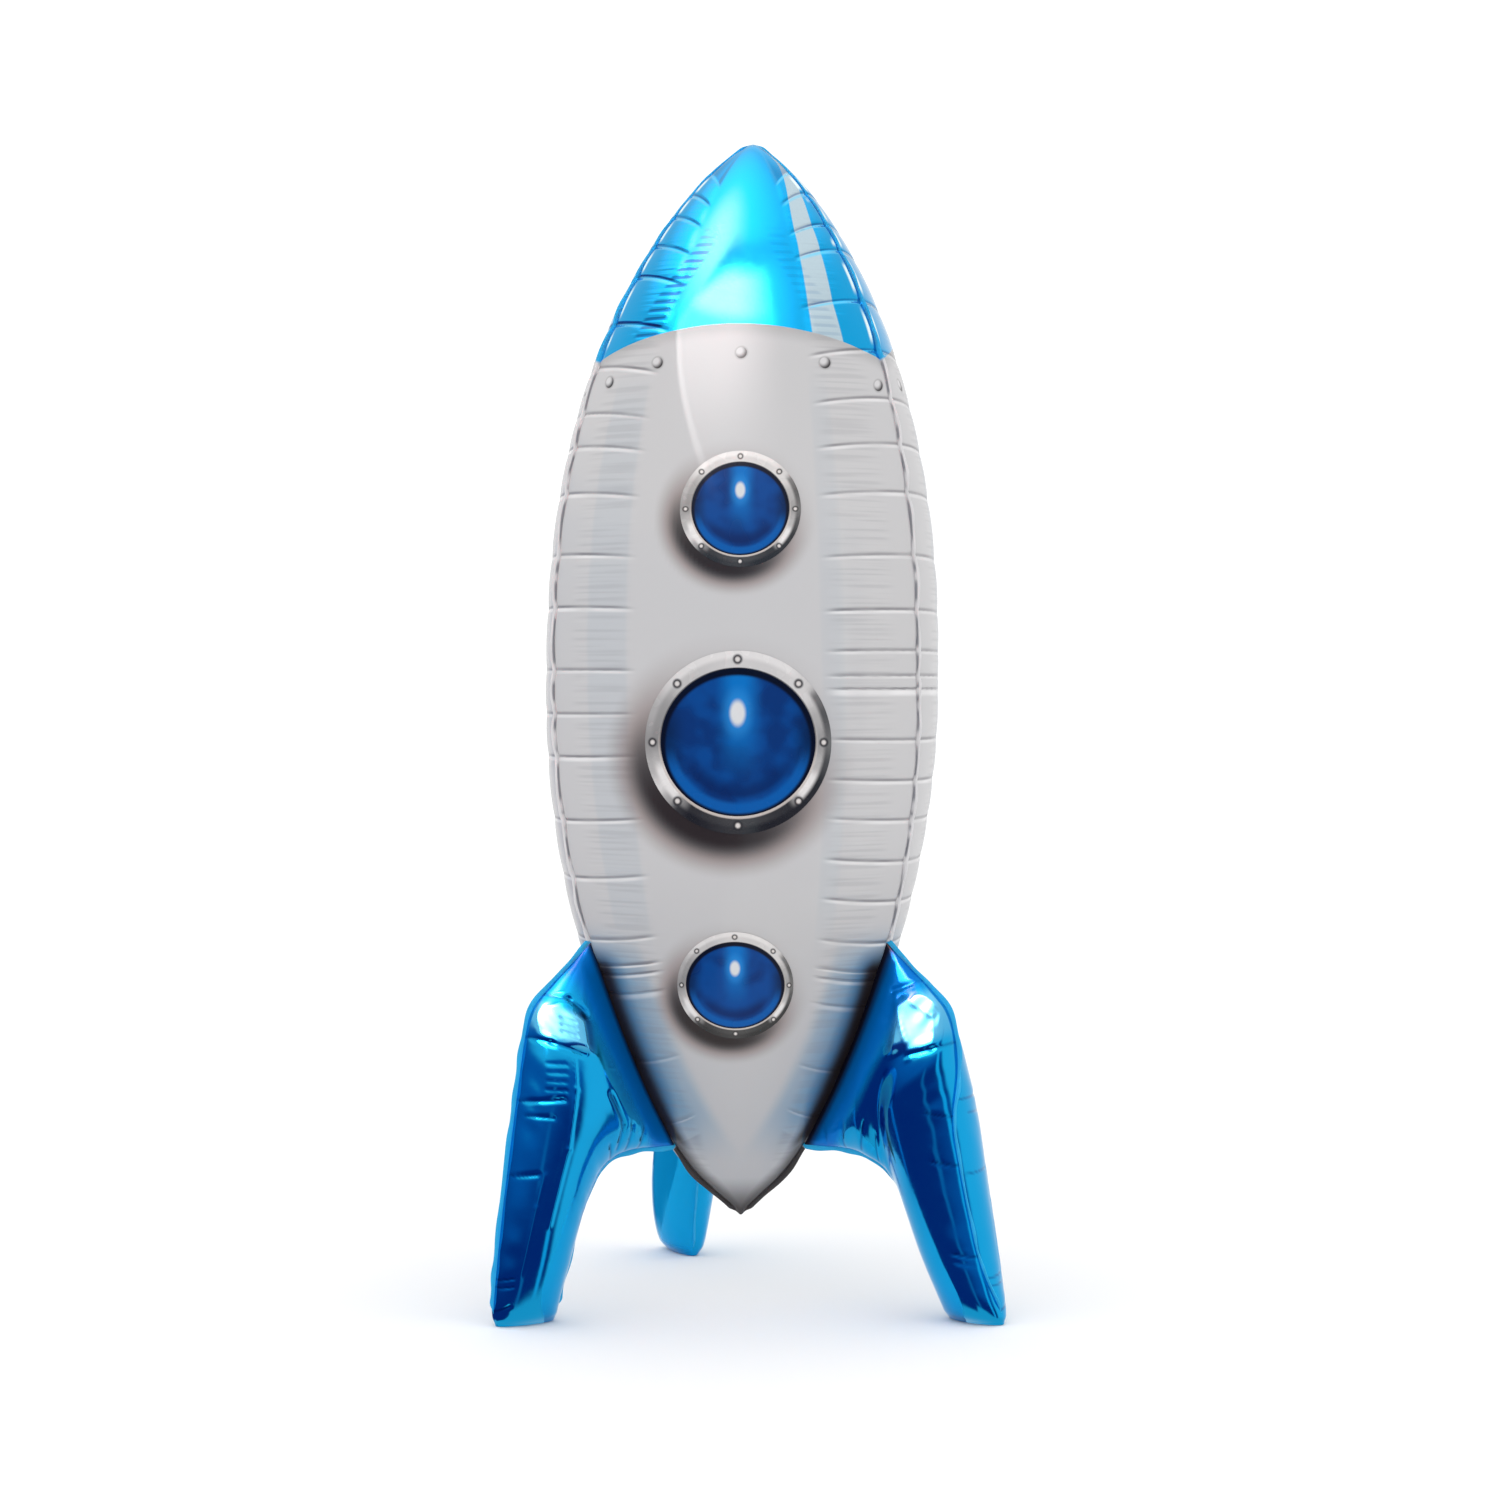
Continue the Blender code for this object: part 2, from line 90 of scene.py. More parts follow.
# By height: how far the axis stands to the right, and the twist in degrees
AXIS_BOW = ((0.0, -0.0050), (0.08, -0.0120), (0.3, -0.0135), (0.6, -0.0090), (0.9, -0.0060), (1.117, 0.0000))
TWIST = ((0.0, 5.8), (0.08, 6.6), (0.30, 4.8), (0.45, 2.4), (0.60, 0.0), (1.117, 0.0))
NOSE_EDGE_Z = 0.900
NOSE_EDGE_ARC = 0.030

# Seams and the panels between them
SEAM_AZIMUTHS = {"left": -62.4, "right": 57.6, "rear": 184.0}
FULL_TURN = 360.0
PANELS = {
    "front": ("left", "right"),
    "rear_right": ("right", "rear"),
    "rear_left": ("rear", "left"),
}
PORTHOLE_TURN = 3.0
PORTHOLES = ("top", "middle", "bottom")

# Heights where a buckle of the foil crosses each seam
BUCKLES = {
    "left": (0.155, 0.176, 0.238, 0.304, 0.322, 0.330, 0.355, 0.414, 0.468, 0.528, 0.568, 0.609,
             0.668, 0.717, 0.775, 0.819, 0.850, 0.8945, 0.936, 0.982, 1.012, 1.041, 1.063, 1.085),
    "right": (0.158, 0.182, 0.228, 0.291, 0.316, 0.324, 0.352, 0.392, 0.430, 0.469, 0.506, 0.544, 0.592,
              0.6035, 0.627, 0.665, 0.716, 0.775, 0.820, 0.863, 0.909, 0.957, 1.007, 1.032, 1.064, 1.086),
    "rear": (0.160, 0.190, 0.219, 0.275, 0.300, 0.338, 0.371, 0.408, 0.442, 0.489, 0.520, 0.571, 0.618,
             0.650, 0.701, 0.742, 0.790, 0.838, 0.872, 0.921, 0.953, 0.990, 1.021, 1.048, 1.079),
}
# Shares across a panel, from either seam: where the buckles begin to fade and over what, and where the
# ripples rise, are full, fade and end
BUCKLE_REACH = (0.215, 0.060)
RIPPLE_BAND = (0.06, 0.13, 0.20, 0.27)
RIPPLE_TIP = 0.10
PILLOW_SPACING = 0.050
# Buckles end below the nose tip, are weaker at the fins and end at the tail: heights and over what
BUCKLE_TIP = 0.05
BUCKLE_WEAK = (0.45, 0.28, 0.06)
BUCKLE_TAIL = (0.14, 0.03)
# Share of the way between two buckles where the dark dash at a seam rises, is full, fades and ends
DASH_SPAN = (0.06, 0.16, 0.80, 0.95)
PILLOW_FIELDS = ("buckle_count", "buckle_gap", "inward", "buckle_reach")
BUCKLE_LEAN = 0.45

# Printed marks of a panel, as shares of the way across and heights
RIVETS = ((0.092, 0.8788), (0.257, 0.8942), (0.525, 0.9017), (0.785, 0.8934), (0.958, 0.8747))
RIVET_RADIUS = 0.0058
# The pale streak on the nose: height, left edge, right edge
STREAK = ((0.905, 0.757, 0.862), (0.954, 0.758, 0.856), (1.004, 0.765, 0.872), (1.045, 0.783, 0.897),
          (1.074, 0.835, 0.950), (1.095, 0.910, 1.000))
# Ladder of short ripples on the nose: height, share across of its middle, and strength, which is less on the
# right
LADDER = (
    (0.915, 0.185, 0.9), (0.940, 0.205, 1.0), (0.975, 0.255, 1.0), (1.005, 0.315, 0.8), (1.030, 0.340, 0.0),
)
LADDER_HALF = 0.055
LADDER_RIGHT = 0.22
LADDER_SPACING = 0.0079
SEAM_PUFF = (0.0010, 0.016)
SEAM_GROOVE = (0.0012, 0.0030)
# Bands of pale blue-grey down the hull: first and last share across, and strength
HULL_BANDS = ((0.130, 0.246, 1.0), (0.728, 0.780, 0.7))
FIN_BOTTOM_Z = 0.153
# Dark airbrush down the tail's edges: the height where it begins to fade, and over what
TAIL_INK = (FIN_BOTTOM_Z, 0.02)

# Fin sections from the root on the hull to the foot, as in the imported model
FIN_SECTIONS = (
    # outer_rho, outer_z, inner_rho, inner_z, half_thickness
    (0.1622, 0.3516, 0.0590, 0.1530, 0.0080),
    (0.1840, 0.3310, 0.0840, 0.1530, 0.0250),
    (0.2060, 0.3115, 0.1080, 0.1530, 0.0345),
    (0.2250, 0.2905, 0.1335, 0.1495, 0.0385),
    (0.2335, 0.2605, 0.1545, 0.1390, 0.0395),
    (0.2395, 0.2253, 0.1665, 0.1225, 0.0380),
    (0.2463, 0.1845, 0.1760, 0.1035, 0.0360),
    (0.2545, 0.1360, 0.1855, 0.0805, 0.0335),
    (0.2640, 0.0826, 0.1950, 0.0540, 0.0305),
    (0.2718, 0.0389, 0.2050, 0.0285, 0.0260),
    (0.2758, 0.0120, 0.2105, 0.0095, 0.0200),
    (0.2740, 0.0004, 0.2140, 0.0004, 0.0110),
)
FIN_ROOT_ROWS = 4
FIN_TOP_Z = 0.352
FOOT_RHO = 0.272
FOOT_SWAY = {"left": 0.0, "right": 0.0, "rear": 0.045}
LEG_TURN = {"left": 0.0, "right": -38.0, "rear": 0.0}
LEG_MIDDLE = ((0.0, 0.244), (0.2, 0.208))
LEG_TURN_SHARE = ((0.0, 0.35), (0.08, 1.0), (0.16, 1.0), (0.27, 0.0))
# Distance from the axis where the leg begins to turn, and over what
LEG_TURN_REACH = (0.14, 0.06)
LEG_FULLNESS = {"left": 1.0, "right": 1.24, "rear": 0.97}
# Section row where the leg begins to have its own fullness, and over how many rows
LEG_ROWS = (2.0, 3.0)
FACES = {"left": ("rear", "front"), "right": ("front", "rear"), "rear": ("right", "left")}

# Hem of sealed foil outside every seam
HEM_TUCK = 0.0022
HEM_THICKNESS = 0.0009
HEM_STEP = 0.0025
HEM_LAST_ROW = 10.0
HEM_TIP_LENGTH = 0.012
HEM_CALM_TAIL = 0.06
HEM_WAVE = 0.0004
# Share of its width that the hem has at the nose tip, and how far below the tip it widens and over what
HEM_TIP_WIDTH = 0.35
HEM_WIDENS = (0.02, 0.20)
HEM_UNEVENNESS = 0.14
# Pitch, drift and slow pitch of the hem's uneven edge, of its waves and of the dark dashes beside it
HEM_EDGE_WOBBLE = (0.0083, 1.7, 0.031)
HEM_WAVE_WOBBLE = (0.0070, 2.0, 0.023)
HEM_DASH_WOBBLE = (0.0065, 2.0, 0.019)
# Past this distance from the axis a hem is on a fin
HULL_REACH = 0.205

# Tab of the self-sealing inflation valve, on the rear hem
VALVE_Z = 0.470
VALVE_WIDTH = 0.022
VALVE_LENGTH = 0.034
VALVE_CORNER = 0.005
VALVE_HALF_FILM = 0.0002
# Half width and bulge of the channel down its middle, how far it curls, and its ripples' height and pitch
VALVE_CHANNEL = (0.0045, 0.0008)
VALVE_CURL = 0.0016
VALVE_RIPPLE = (0.0004, 0.0021)

# Creases of the fins' foil, in the plane of the seam: distance from the axis and height of both ends, then
# depth and half width. A negative depth is a ridge.
LEFT_CREASES = (
    (0.2150, 0.3060, 0.1940, 0.3015, 0.0024, 0.0060),
    (0.1940, 0.3015, 0.1800, 0.2880, 0.0020, 0.0060),
    (0.2350, 0.2680, 0.2170, 0.2630, 0.0026, 0.0055),
    (0.2170, 0.2630, 0.1900, 0.2530, 0.0022, 0.0055),
    (0.2050, 0.2850, 0.1930, 0.2800, 0.0007, 0.0028),
    (0.2060, 0.2790, 0.1930, 0.2740, 0.0007, 0.0028),
    (0.2070, 0.2730, 0.1940, 0.2680, 0.0007, 0.0028),
    (0.2230, 0.2440, 0.2070, 0.2430, 0.0005, 0.0030),
    (0.2230, 0.2360, 0.2070, 0.2350, 0.0005, 0.0030),
    (0.2240, 0.2280, 0.2080, 0.2270, 0.0005, 0.0030),
    (0.2250, 0.2200, 0.2080, 0.2190, 0.0007, 0.0030),
    (0.2415, 0.2090, 0.2110, 0.2110, 0.0018, 0.0042),
    (0.2400, 0.1960, 0.2210, 0.1945, 0.0012, 0.0036),
    (0.2560, 0.1400, 0.2360, 0.1425, 0.0015, 0.0040),
    (0.2720, 0.0440, 0.2610, 0.0470, 0.0014, 0.0036),
    (0.2725, 0.0370, 0.2620, 0.0390, 0.0012, 0.0032),
    (0.2770, 0.0140, 0.2660, 0.0210, 0.0014, 0.0040),
    (0.1995, 0.2500, 0.1995, 0.2200, -0.0009, 0.0040),
    (0.1995, 0.2200, 0.2080, 0.1640, -0.0011, 0.0045),
    (0.2080, 0.1640, 0.2280, 0.0950, -0.0008, 0.0045),
    (0.2300, 0.1420, 0.2390, 0.1120, -0.0004, 0.0035),
    (0.2390, 0.1120, 0.2560, 0.0500, -0.0006, 0.0035),
    (0.1600, 0.2120, 0.1450, 0.1850, 0.0016, 0.0060),
    (0.1440, 0.1820, 0.1470, 0.1580, 0.0016, 0.0055),
    (0.1320, 0.1800, 0.1340, 0.1560, 0.0014, 0.0050),
    (0.1150, 0.1760, 0.1180, 0.1550, 0.0012, 0.0050),
    (0.1580, 0.1640, 0.1520, 0.1480, 0.0012, 0.0050),
)
RIGHT_CREASES = (
    (0.1760, 0.3080, 0.2000, 0.3180, 0.0022, 0.0055),
    (0.2030, 0.2510, 0.2220, 0.2570, 0.0026, 0.0055),
    (0.2220, 0.2570, 0.2350, 0.2620, 0.0022, 0.0050),
    (0.1800, 0.3020, 0.2040, 0.2490, -0.0016, 0.0070),
    (0.1940, 0.3010, 0.2170, 0.2870, -0.0009, 0.0050),
    (0.2170, 0.2870, 0.2220, 0.2600, -0.0008, 0.0045),
    (0.2430, 0.1650, 0.2520, 0.1200, -0.0006, 0.0040),
    (0.2360, 0.1980, 0.2470, 0.1930, 0.0012, 0.0035),
    (0.2440, 0.1530, 0.2545, 0.1480, 0.0014, 0.0040),
    (0.2590, 0.0680, 0.2690, 0.0640, 0.0014, 0.0040),
    (0.2600, 0.0600, 0.2700, 0.0560, 0.0010, 0.0032),
    (0.1510, 0.1840, 0.1420, 0.1560, 0.0011, 0.0055),
    (0.1240, 0.1800, 0.1210, 0.1560, 0.0012, 0.0050),
    (0.1680, 0.1720, 0.1600, 0.1460, 0.0012, 0.0050),
    (0.0980, 0.1760, 0.1010, 0.1550, 0.0010, 0.0050),
)
# A crease of at least this depth has a painted shade line in its fold: the line's share of the crease's width
CREASE_LINE_DEPTH = 0.001
CREASE_LINE = 0.45
# Flatter facets between the creases of a knee: distance from the axis and height of the middle, half width
# and half height, slope of the creases beside it, how the foil leans in per metre outwards and upwards, and
# how flat it is
LEFT_FACETS = ((0.2060, 0.2790, 0.0260, 0.0150, 0.42, -0.53, -0.37, 0.70),)
RIGHT_FACETS = ((0.2060, 0.2840, 0.0260, 0.0230, 0.38, -0.52, -0.40, 0.70),)
# Faces with the left creases and facets. The others have the right ones.
LIKE_LEFT = (("left", "front"), ("right", "rear"), ("rear", "left"))
FACET_DROP = 0.0015

# Sheen of a porthole's rim, round it from the right and anticlockwise: share of the turn and grey
RIM_SHEEN = (
    (0.0, 0.42), (0.05, 0.55), (0.10, 0.86), (0.20, 0.80), (0.25, 0.82), (0.36, 0.70), (0.43, 0.42),
    (0.50, 0.34), (0.53, 0.55), (0.56, 1.05), (0.61, 1.05), (0.635, 0.30), (0.655, 0.04), (0.75, 0.08),
    (0.855, 0.04), (0.875, 0.50), (0.89, 1.05), (0.925, 1.05), (0.95, 0.62), (1.0, 0.42),
)
RIM_OUTER_SHEEN = (
    (0.0, 0.20), (0.05, 0.12), (0.085, 0.22), (0.11, 0.80), (0.16, 1.00), (0.25, 1.00), (0.36, 0.95),
    (0.44, 0.55), (0.50, 0.38), (0.55, 0.60), (0.585, 0.90), (0.61, 0.50), (0.635, 0.05), (0.66, 0.02),
    (0.75, 0.05), (0.80, 0.02), (0.92, 0.03), (0.96, 0.09), (1.0, 0.20),
)
RIM_LIP = ((0.0, 0.5), (0.05, 0.0), (0.45, 0.0), (0.55, 0.8), (0.75, 1.0), (0.95, 0.8), (1.0, 0.5))
RIM_LINE = ((0.0, 0.6), (0.25, 1.0), (0.50, 0.6), (0.56, 0.0), (0.94, 0.0), (1.0, 0.6))

# Dark airbrush and calm blue beside the hull on a fin's face: section rows where each begins to fade, and
# over how many rows
ROOT_SHADOW = (0.0, 0.30)
ROOT_BLUE = (0.9, 0.8)
# Where a face has other ones
OWN_SHADOW = {("right", "front"): (0.12, 0.52)}
OWN_BLUE = {("right", "front"): (1.35, 0.9)}
# The one face whose inner half is matt blue
MATT_FACE = ("rear", "left")

# Grid steps
PANEL_COLUMNS = 150
HULL_ROWS = 360
NOSE_ROWS = 130
FIN_ROWS = 230
FIN_STATIONS = 90
ROUND_STEPS = 128
RIM_RINGS = 12
GLASS_RINGS = 30
VALVE_STEPS = (40, 32)
OUTLINE_STEPS = 4000
# The panels stop short of the tips by this share of the hull's outline
TIP_SHARE = 0.0012
# A print lies this far outside the panel
PRINT_LIFT = 0.0004
RIM_RIVETS = 8


def along(table, places):
    """A smooth curve through the rows of a table, at each place along its first column."""
    rows = np.array(table, float)
    marks, values = rows[:, 0], rows[:, 1:]
    steps = np.diff(marks)
    rises = np.diff(values, axis=0) / steps[:, None]
    inner = (rises[:-1] * steps[1:, None] + rises[1:] * steps[:-1, None]) / (steps[:-1] + steps[1:])[:, None]
    slopes = np.vstack((rises[:1], inner, rises[-1:]))
    places = np.clip(places, marks[0], marks[-1])
    k = np.clip(np.searchsorted(marks, places) - 1, 0, len(steps) - 1)
    step = steps[k]
    t = (places - marks[k]) / step
    curves = (values[k], slopes[k], values[k + 1], slopes[k + 1])
    weights = (
        (1 + 2 * t) * (1 - t) ** 2, t * (1 - t) ** 2 * step, t * t * (3 - 2 * t), t * t * (t - 1) * step,
    )
    found = sum(weight[..., None] * curve for weight, curve in zip(weights, curves))
    return found[..., 0] if found.shape[-1] == 1 else found


def ease(share):
    """A step from 0 to 1 with level ends."""
    share = np.clip(share, 0.0, 1.0)
    return share * share * (3.0 - 2.0 * share)


def rise(value, start, length):
    """0 up to start and 1 from a length past it."""
    return ease((value - start) / length)


def fade(value, start, length):
    """1 up to start and 0 from a length past it."""
    return 1.0 - rise(value, start, length)


def wobble(length, pitch, drift, slow_pitch):
    """A wave between -1 and 1 along a length, whose pitch drifts slowly."""
    return np.sin(length / pitch + drift * np.sin(length / slow_pitch))


def settled(azimuth, rho, aside, z):
    """Points at a distance from the axis along an azimuth and aside from it, bowed and twisted in place."""
    turned = np.radians(azimuth + along(TWIST, z))
    x = along(AXIS_BOW, z) + np.sin(turned) * rho + np.cos(turned) * aside
    y = AXIS_Y - np.cos(turned) * rho + np.sin(turned) * aside
    return np.stack(np.broadcast_arrays(x, y, z), -1)


def profile(z):
    """Mean radius of the hull at each height."""
    up = np.clip((z - WAIST_Z) / (HEIGHT - WAIST_Z), 0.0, 1.0)
    down = np.clip((WAIST_Z - z) / (WAIST_Z - TAIL_Z), 0.0, 1.0)
    above = (1.0 - up ** NOSE_POWERS[0]) ** NOSE_POWERS[1]
    below = (1.0 - down ** TAIL_POWERS[0]) ** TAIL_POWERS[1]
    below = below * (1.0 - TAIL_TAPER[0] * np.clip(1.0 - (z - TAIL_Z) / TAIL_TAPER[1], 0.0, 1.0) ** 2)
    return WAIST_R * np.where(z >= WAIST_Z, above, below)


def section(across):
    """Radius factor of the rounded three-sided section."""
    return 1.0 + RIDGE * (1.0 - 2.0 * np.clip(np.sin(np.pi * across), 0.0, 1.0) ** RIDGE_POWER)


def nose_edge(across):
    """Height of the nose colour's lower edge."""
    return NOSE_EDGE_Z + NOSE_EDGE_ARC * (1.0 - (2.0 * across - 1.0) ** 2)


def unit(vectors):
    return vectors / np.maximum(np.linalg.norm(vectors, axis=-1, keepdims=True), 1e-12)


def grid_normals(points):
    return unit(np.cross(np.gradient(points, axis=1), np.gradient(points, axis=0)))


def panel_span(panel):
    start, end = (SEAM_AZIMUTHS[seam] for seam in PANELS[panel])
    return start, end if end > start else end + FULL_TURN


def buckle_place(seam, z):
    """Which buckle of a seam a height is at, in fractions, and the mean spacing of the buckles there."""
    heights = np.array(BUCKLES[seam])
    spacing = np.diff(heights)
    below, above = np.append(spacing[:1], spacing), np.append(spacing, spacing[-1:])
    return np.interp(z, heights, np.arange(len(heights))), np.interp(z, heights, np.sqrt(below * above))


def panel_fields(panel, across, z):
    """Numbers that the foil's relief and prints are worked out from, at each point of a panel."""
    start, end = panel_span(panel)
    left = across < 0.5
    share = np.where(left, across, 1.0 - across)
    lean = BUCKLE_LEAN * (z - WAIST_Z) * share ** 2
    seams = PANELS[panel]
    counts, gaps = [], []
    for seam in seams:
        count, gap = buckle_place(seam, z + lean)
        counts.append(count)
        gaps.append(gap)
    weakest, *weak = BUCKLE_WEAK
    reach = fade(share, *BUCKLE_REACH) * ease((HEIGHT - z) / BUCKLE_TIP) * rise(z, *BUCKLE_TAIL)
    reach = reach * (weakest + (1.0 - weakest) * rise(z, *weak))
    ripple = window(share, *RIPPLE_BAND) * ease((HEIGHT - z) / RIPPLE_TIP) * rise(z, TAIL_Z, RIPPLE_TIP)
    inward = share * profile(z) * section(across) * math.radians(end - start)
    ladder_middle, ladder_strength = np.moveaxis(along(LADDER, z), -1, 0)
    ladder = ladder_strength * fade(np.abs(share - ladder_middle) / LADDER_HALF, 0.6, 0.4)
    left_edge, right_edge = np.moveaxis(along(STREAK, z), -1, 0)
    return {
        "buckle_count": np.where(left, counts[0], counts[1]),
        "buckle_gap": np.where(left, gaps[0], gaps[1]),
        "buckle_reach": reach,
        "ripple_reach": ripple,
        "ladder": ladder * np.where(left, 1.0, LADDER_RIGHT) * (z > LADDER[0][0]),
        "inward": inward,
        "streak_place": (across - left_edge) / (right_edge - left_edge),
        "black_ink_and_shade": black_ink_and_shade(across, z, inward),
        "shadow_ink": porthole_shadow(panel, across, z),
        "blue_ink": blue_ink(across, z, inward),
    }


def window(value, low, high, fall, end):
    """0 up to low, 1 from high to fall and 0 from end on."""
    return rise(value, low, high - low) * fade(value, fall, end - fall)


def porthole_size(name):
    """Centre height, then half width and half height of a porthole's glass and of its rim."""
    sizes = []
    for part in ("glass", "rim"):
        low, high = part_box(f"porthole_{part}_front_{name}")
        sizes.append(((high.x - low.x) / 2, (high.z - low.z) / 2))
        centre = (high.z + low.z) / 2
    return centre, sizes[0], sizes[1]


def sideways_of_portholes(panel, points, centre_z):
    """How far each point of a panel stands aside of the line through its portholes' centres."""
    start, end = panel_span(panel)
    facing = math.radians((start + end) / 2.0 + PORTHOLE_TURN)
    bow = float(along(AXIS_BOW, np.array(centre_z)))
    return (points[..., 0] - bow) * math.cos(facing) + (points[..., 1] - AXIS_Y) * math.sin(facing)


def black_ink_and_shade(across, z, inward):
    """Strength of the dark airbrush by the fins, at the tail's edges and tip and under the nose, and of
    painted shade.
    """
    beside_fin = window(z, 0.135, 0.165, 0.325, 0.356)
    ink = 0.985 * beside_fin * fade(inward, 0.014, 0.016 + 0.018 * rise(z, 0.16, 0.06))
    tail_edge = fade(inward, 0.004, 0.026 + 0.016 * fade(z, TAIL_Z, 0.06))
    # After the tail's edges and tip comes painted shade, darker towards the bottom of the hull, then the
    # airbrush under the nose
    others = (
        (0.95, fade(z, *TAIL_INK) * tail_edge), (0.92, fade(z, TAIL_Z + 0.004, 0.050)),
        (0.10, fade(z, 0.30, 0.16)), (0.22, fade(nose_edge(across) - z, 0.0, 0.016)),
    )
    for strength, share in others:
        ink = np.maximum(ink, strength * share)
    return ink


def porthole_shadow(panel, across, z):
    """Strength of the warm dark airbrush to the lower left of every porthole's rim."""
    ink = np.zeros_like(across)
    points = panel_points(panel, across, z, 0.0)
    for name in PORTHOLES:
        centre, _, rim = porthole_size(name)
        x = sideways_of_portholes(panel, points, centre) / rim[0]
        y = (z - centre) / rim[1]
        far = np.hypot(x + 0.085, y + 0.14)
        low_left = ease(0.5 - 0.5 * (0.45 * x + 0.89 * y) / np.maximum(np.hypot(x, y), 0.2))
        shadow = (0.06 + 0.94 * low_left ** 1.5) * fade(far, 0.95, 0.42)
        ink = np.maximum(ink, 0.985 * shadow ** 0.75)
    return ink


def blue_ink(across, z, inward):
    """Strength of the pale blue-grey ink, in bands down the hull and beside the fins."""
    ink = np.zeros_like(across)
    for first, last, strength in HULL_BANDS:
        band = window(across, first - 0.006, first + 0.008, last - 0.006, last + 0.006)
        ink = np.maximum(ink, 0.13 * strength * band * window(z, 0.33, 0.40, 0.84, 0.90))
    beside_fin = window(z, 0.135, 0.20, 0.32, 0.375) * (1.0 - 0.45 * rise(inward, 0.028, 0.032))
    return np.maximum(ink, beside_fin * fade(inward, 0.056, 0.016))


def pillow(count, gap, inward, reach, height):
    """How far the foil bulges out between two buckles and sinks in at a seam."""
    part = np.mod(count, 1.0)
    bulge = np.clip(gap / PILLOW_SPACING, 0.0, 1.0) * (4.0 * part * (1.0 - part)) ** 0.6
    puff, puff_width = SEAM_PUFF
    groove, groove_width = SEAM_GROOVE
    near = height * reach + puff * np.exp(-(inward / puff_width) ** 2)
    return bulge * near - groove * np.exp(-(inward / groove_width) ** 2)


def near_tips(z):
    """0 at both tips of the hull and 1 away from them."""
    return ease((HEIGHT - z) / HEM_TIP_LENGTH) * rise(z, TAIL_Z, HEM_TIP_LENGTH)


def panel_points(panel, across, z, lift):
    start, end = panel_span(panel)
    return settled(start + across * (end - start), profile(z) * section(across) + lift, 0.0, z)


def shares(count, crowding):
    """Shares from 0 to 1, crowded towards both ends."""
    t = np.linspace(0.0, 1.0, count + 1)
    return t - crowding * np.sin(2.0 * math.pi * t) / (2.0 * math.pi)


def rivet_sideways(across, z):
    """Distance from a panel's middle along its surface, which is its prints' first coordinate."""
    return (across - 0.5) * profile(np.asarray(z)) * math.radians(FULL_TURN / 3.0)


def height_marks():
    """Shares of the hull's outline from tail to nose, with the heights there."""
    angle = np.linspace(0.0, math.pi, OUTLINE_STEPS + 1)
    z = TAIL_Z + (HEIGHT - TAIL_Z) * (1.0 - np.cos(angle)) / 2.0
    steps = np.hypot(np.diff(z), np.diff(profile(z)))
    length = np.concatenate(([0.0], np.cumsum(steps)))
    return length / length[-1], z


def grid_faces(rows, columns, flip):
    k = np.arange(rows * columns).reshape(rows, columns)
    corners = (k[:-1, :-1], k[:-1, 1:], k[1:, 1:], k[1:, :-1])
    faces = np.stack(corners, -1).reshape(-1, 4)
    return faces[:, ::-1] if flip else faces


def make_piece(name, points, faces, material, node, uv, fields=None, normals=None):
    """A piece of the balloon from its points and faces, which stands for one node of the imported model."""
    mesh = bpy.data.meshes.new(name)
    mesh.from_pydata(points.reshape(-1, 3).tolist(), [], faces if isinstance(faces, list) else faces.tolist())
    mesh.materials.append(material)
    mesh.shade_smooth()
    corner_points = np.empty(len(mesh.loops), int)
    mesh.loops.foreach_get("vertex_index", corner_points)
    layer = mesh.uv_layers.new(name="UVMap")
    layer.data.foreach_set("uv", uv.reshape(-1, 2)[corner_points].ravel().astype(np.float32))
    for key, values in (fields or {}).items():
        attribute = mesh.attributes.new(key, "FLOAT", "POINT")
        attribute.data.foreach_set("value", np.ascontiguousarray(values, np.float32).ravel())
    if normals is not None:
        mesh.normals_split_custom_set_from_vertices(normals.reshape(-1, 3).tolist())
    piece = bpy.data.objects.new(name, mesh)
    bpy.context.scene.collection.objects.link(piece)
    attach(piece, BODY)
    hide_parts(node)


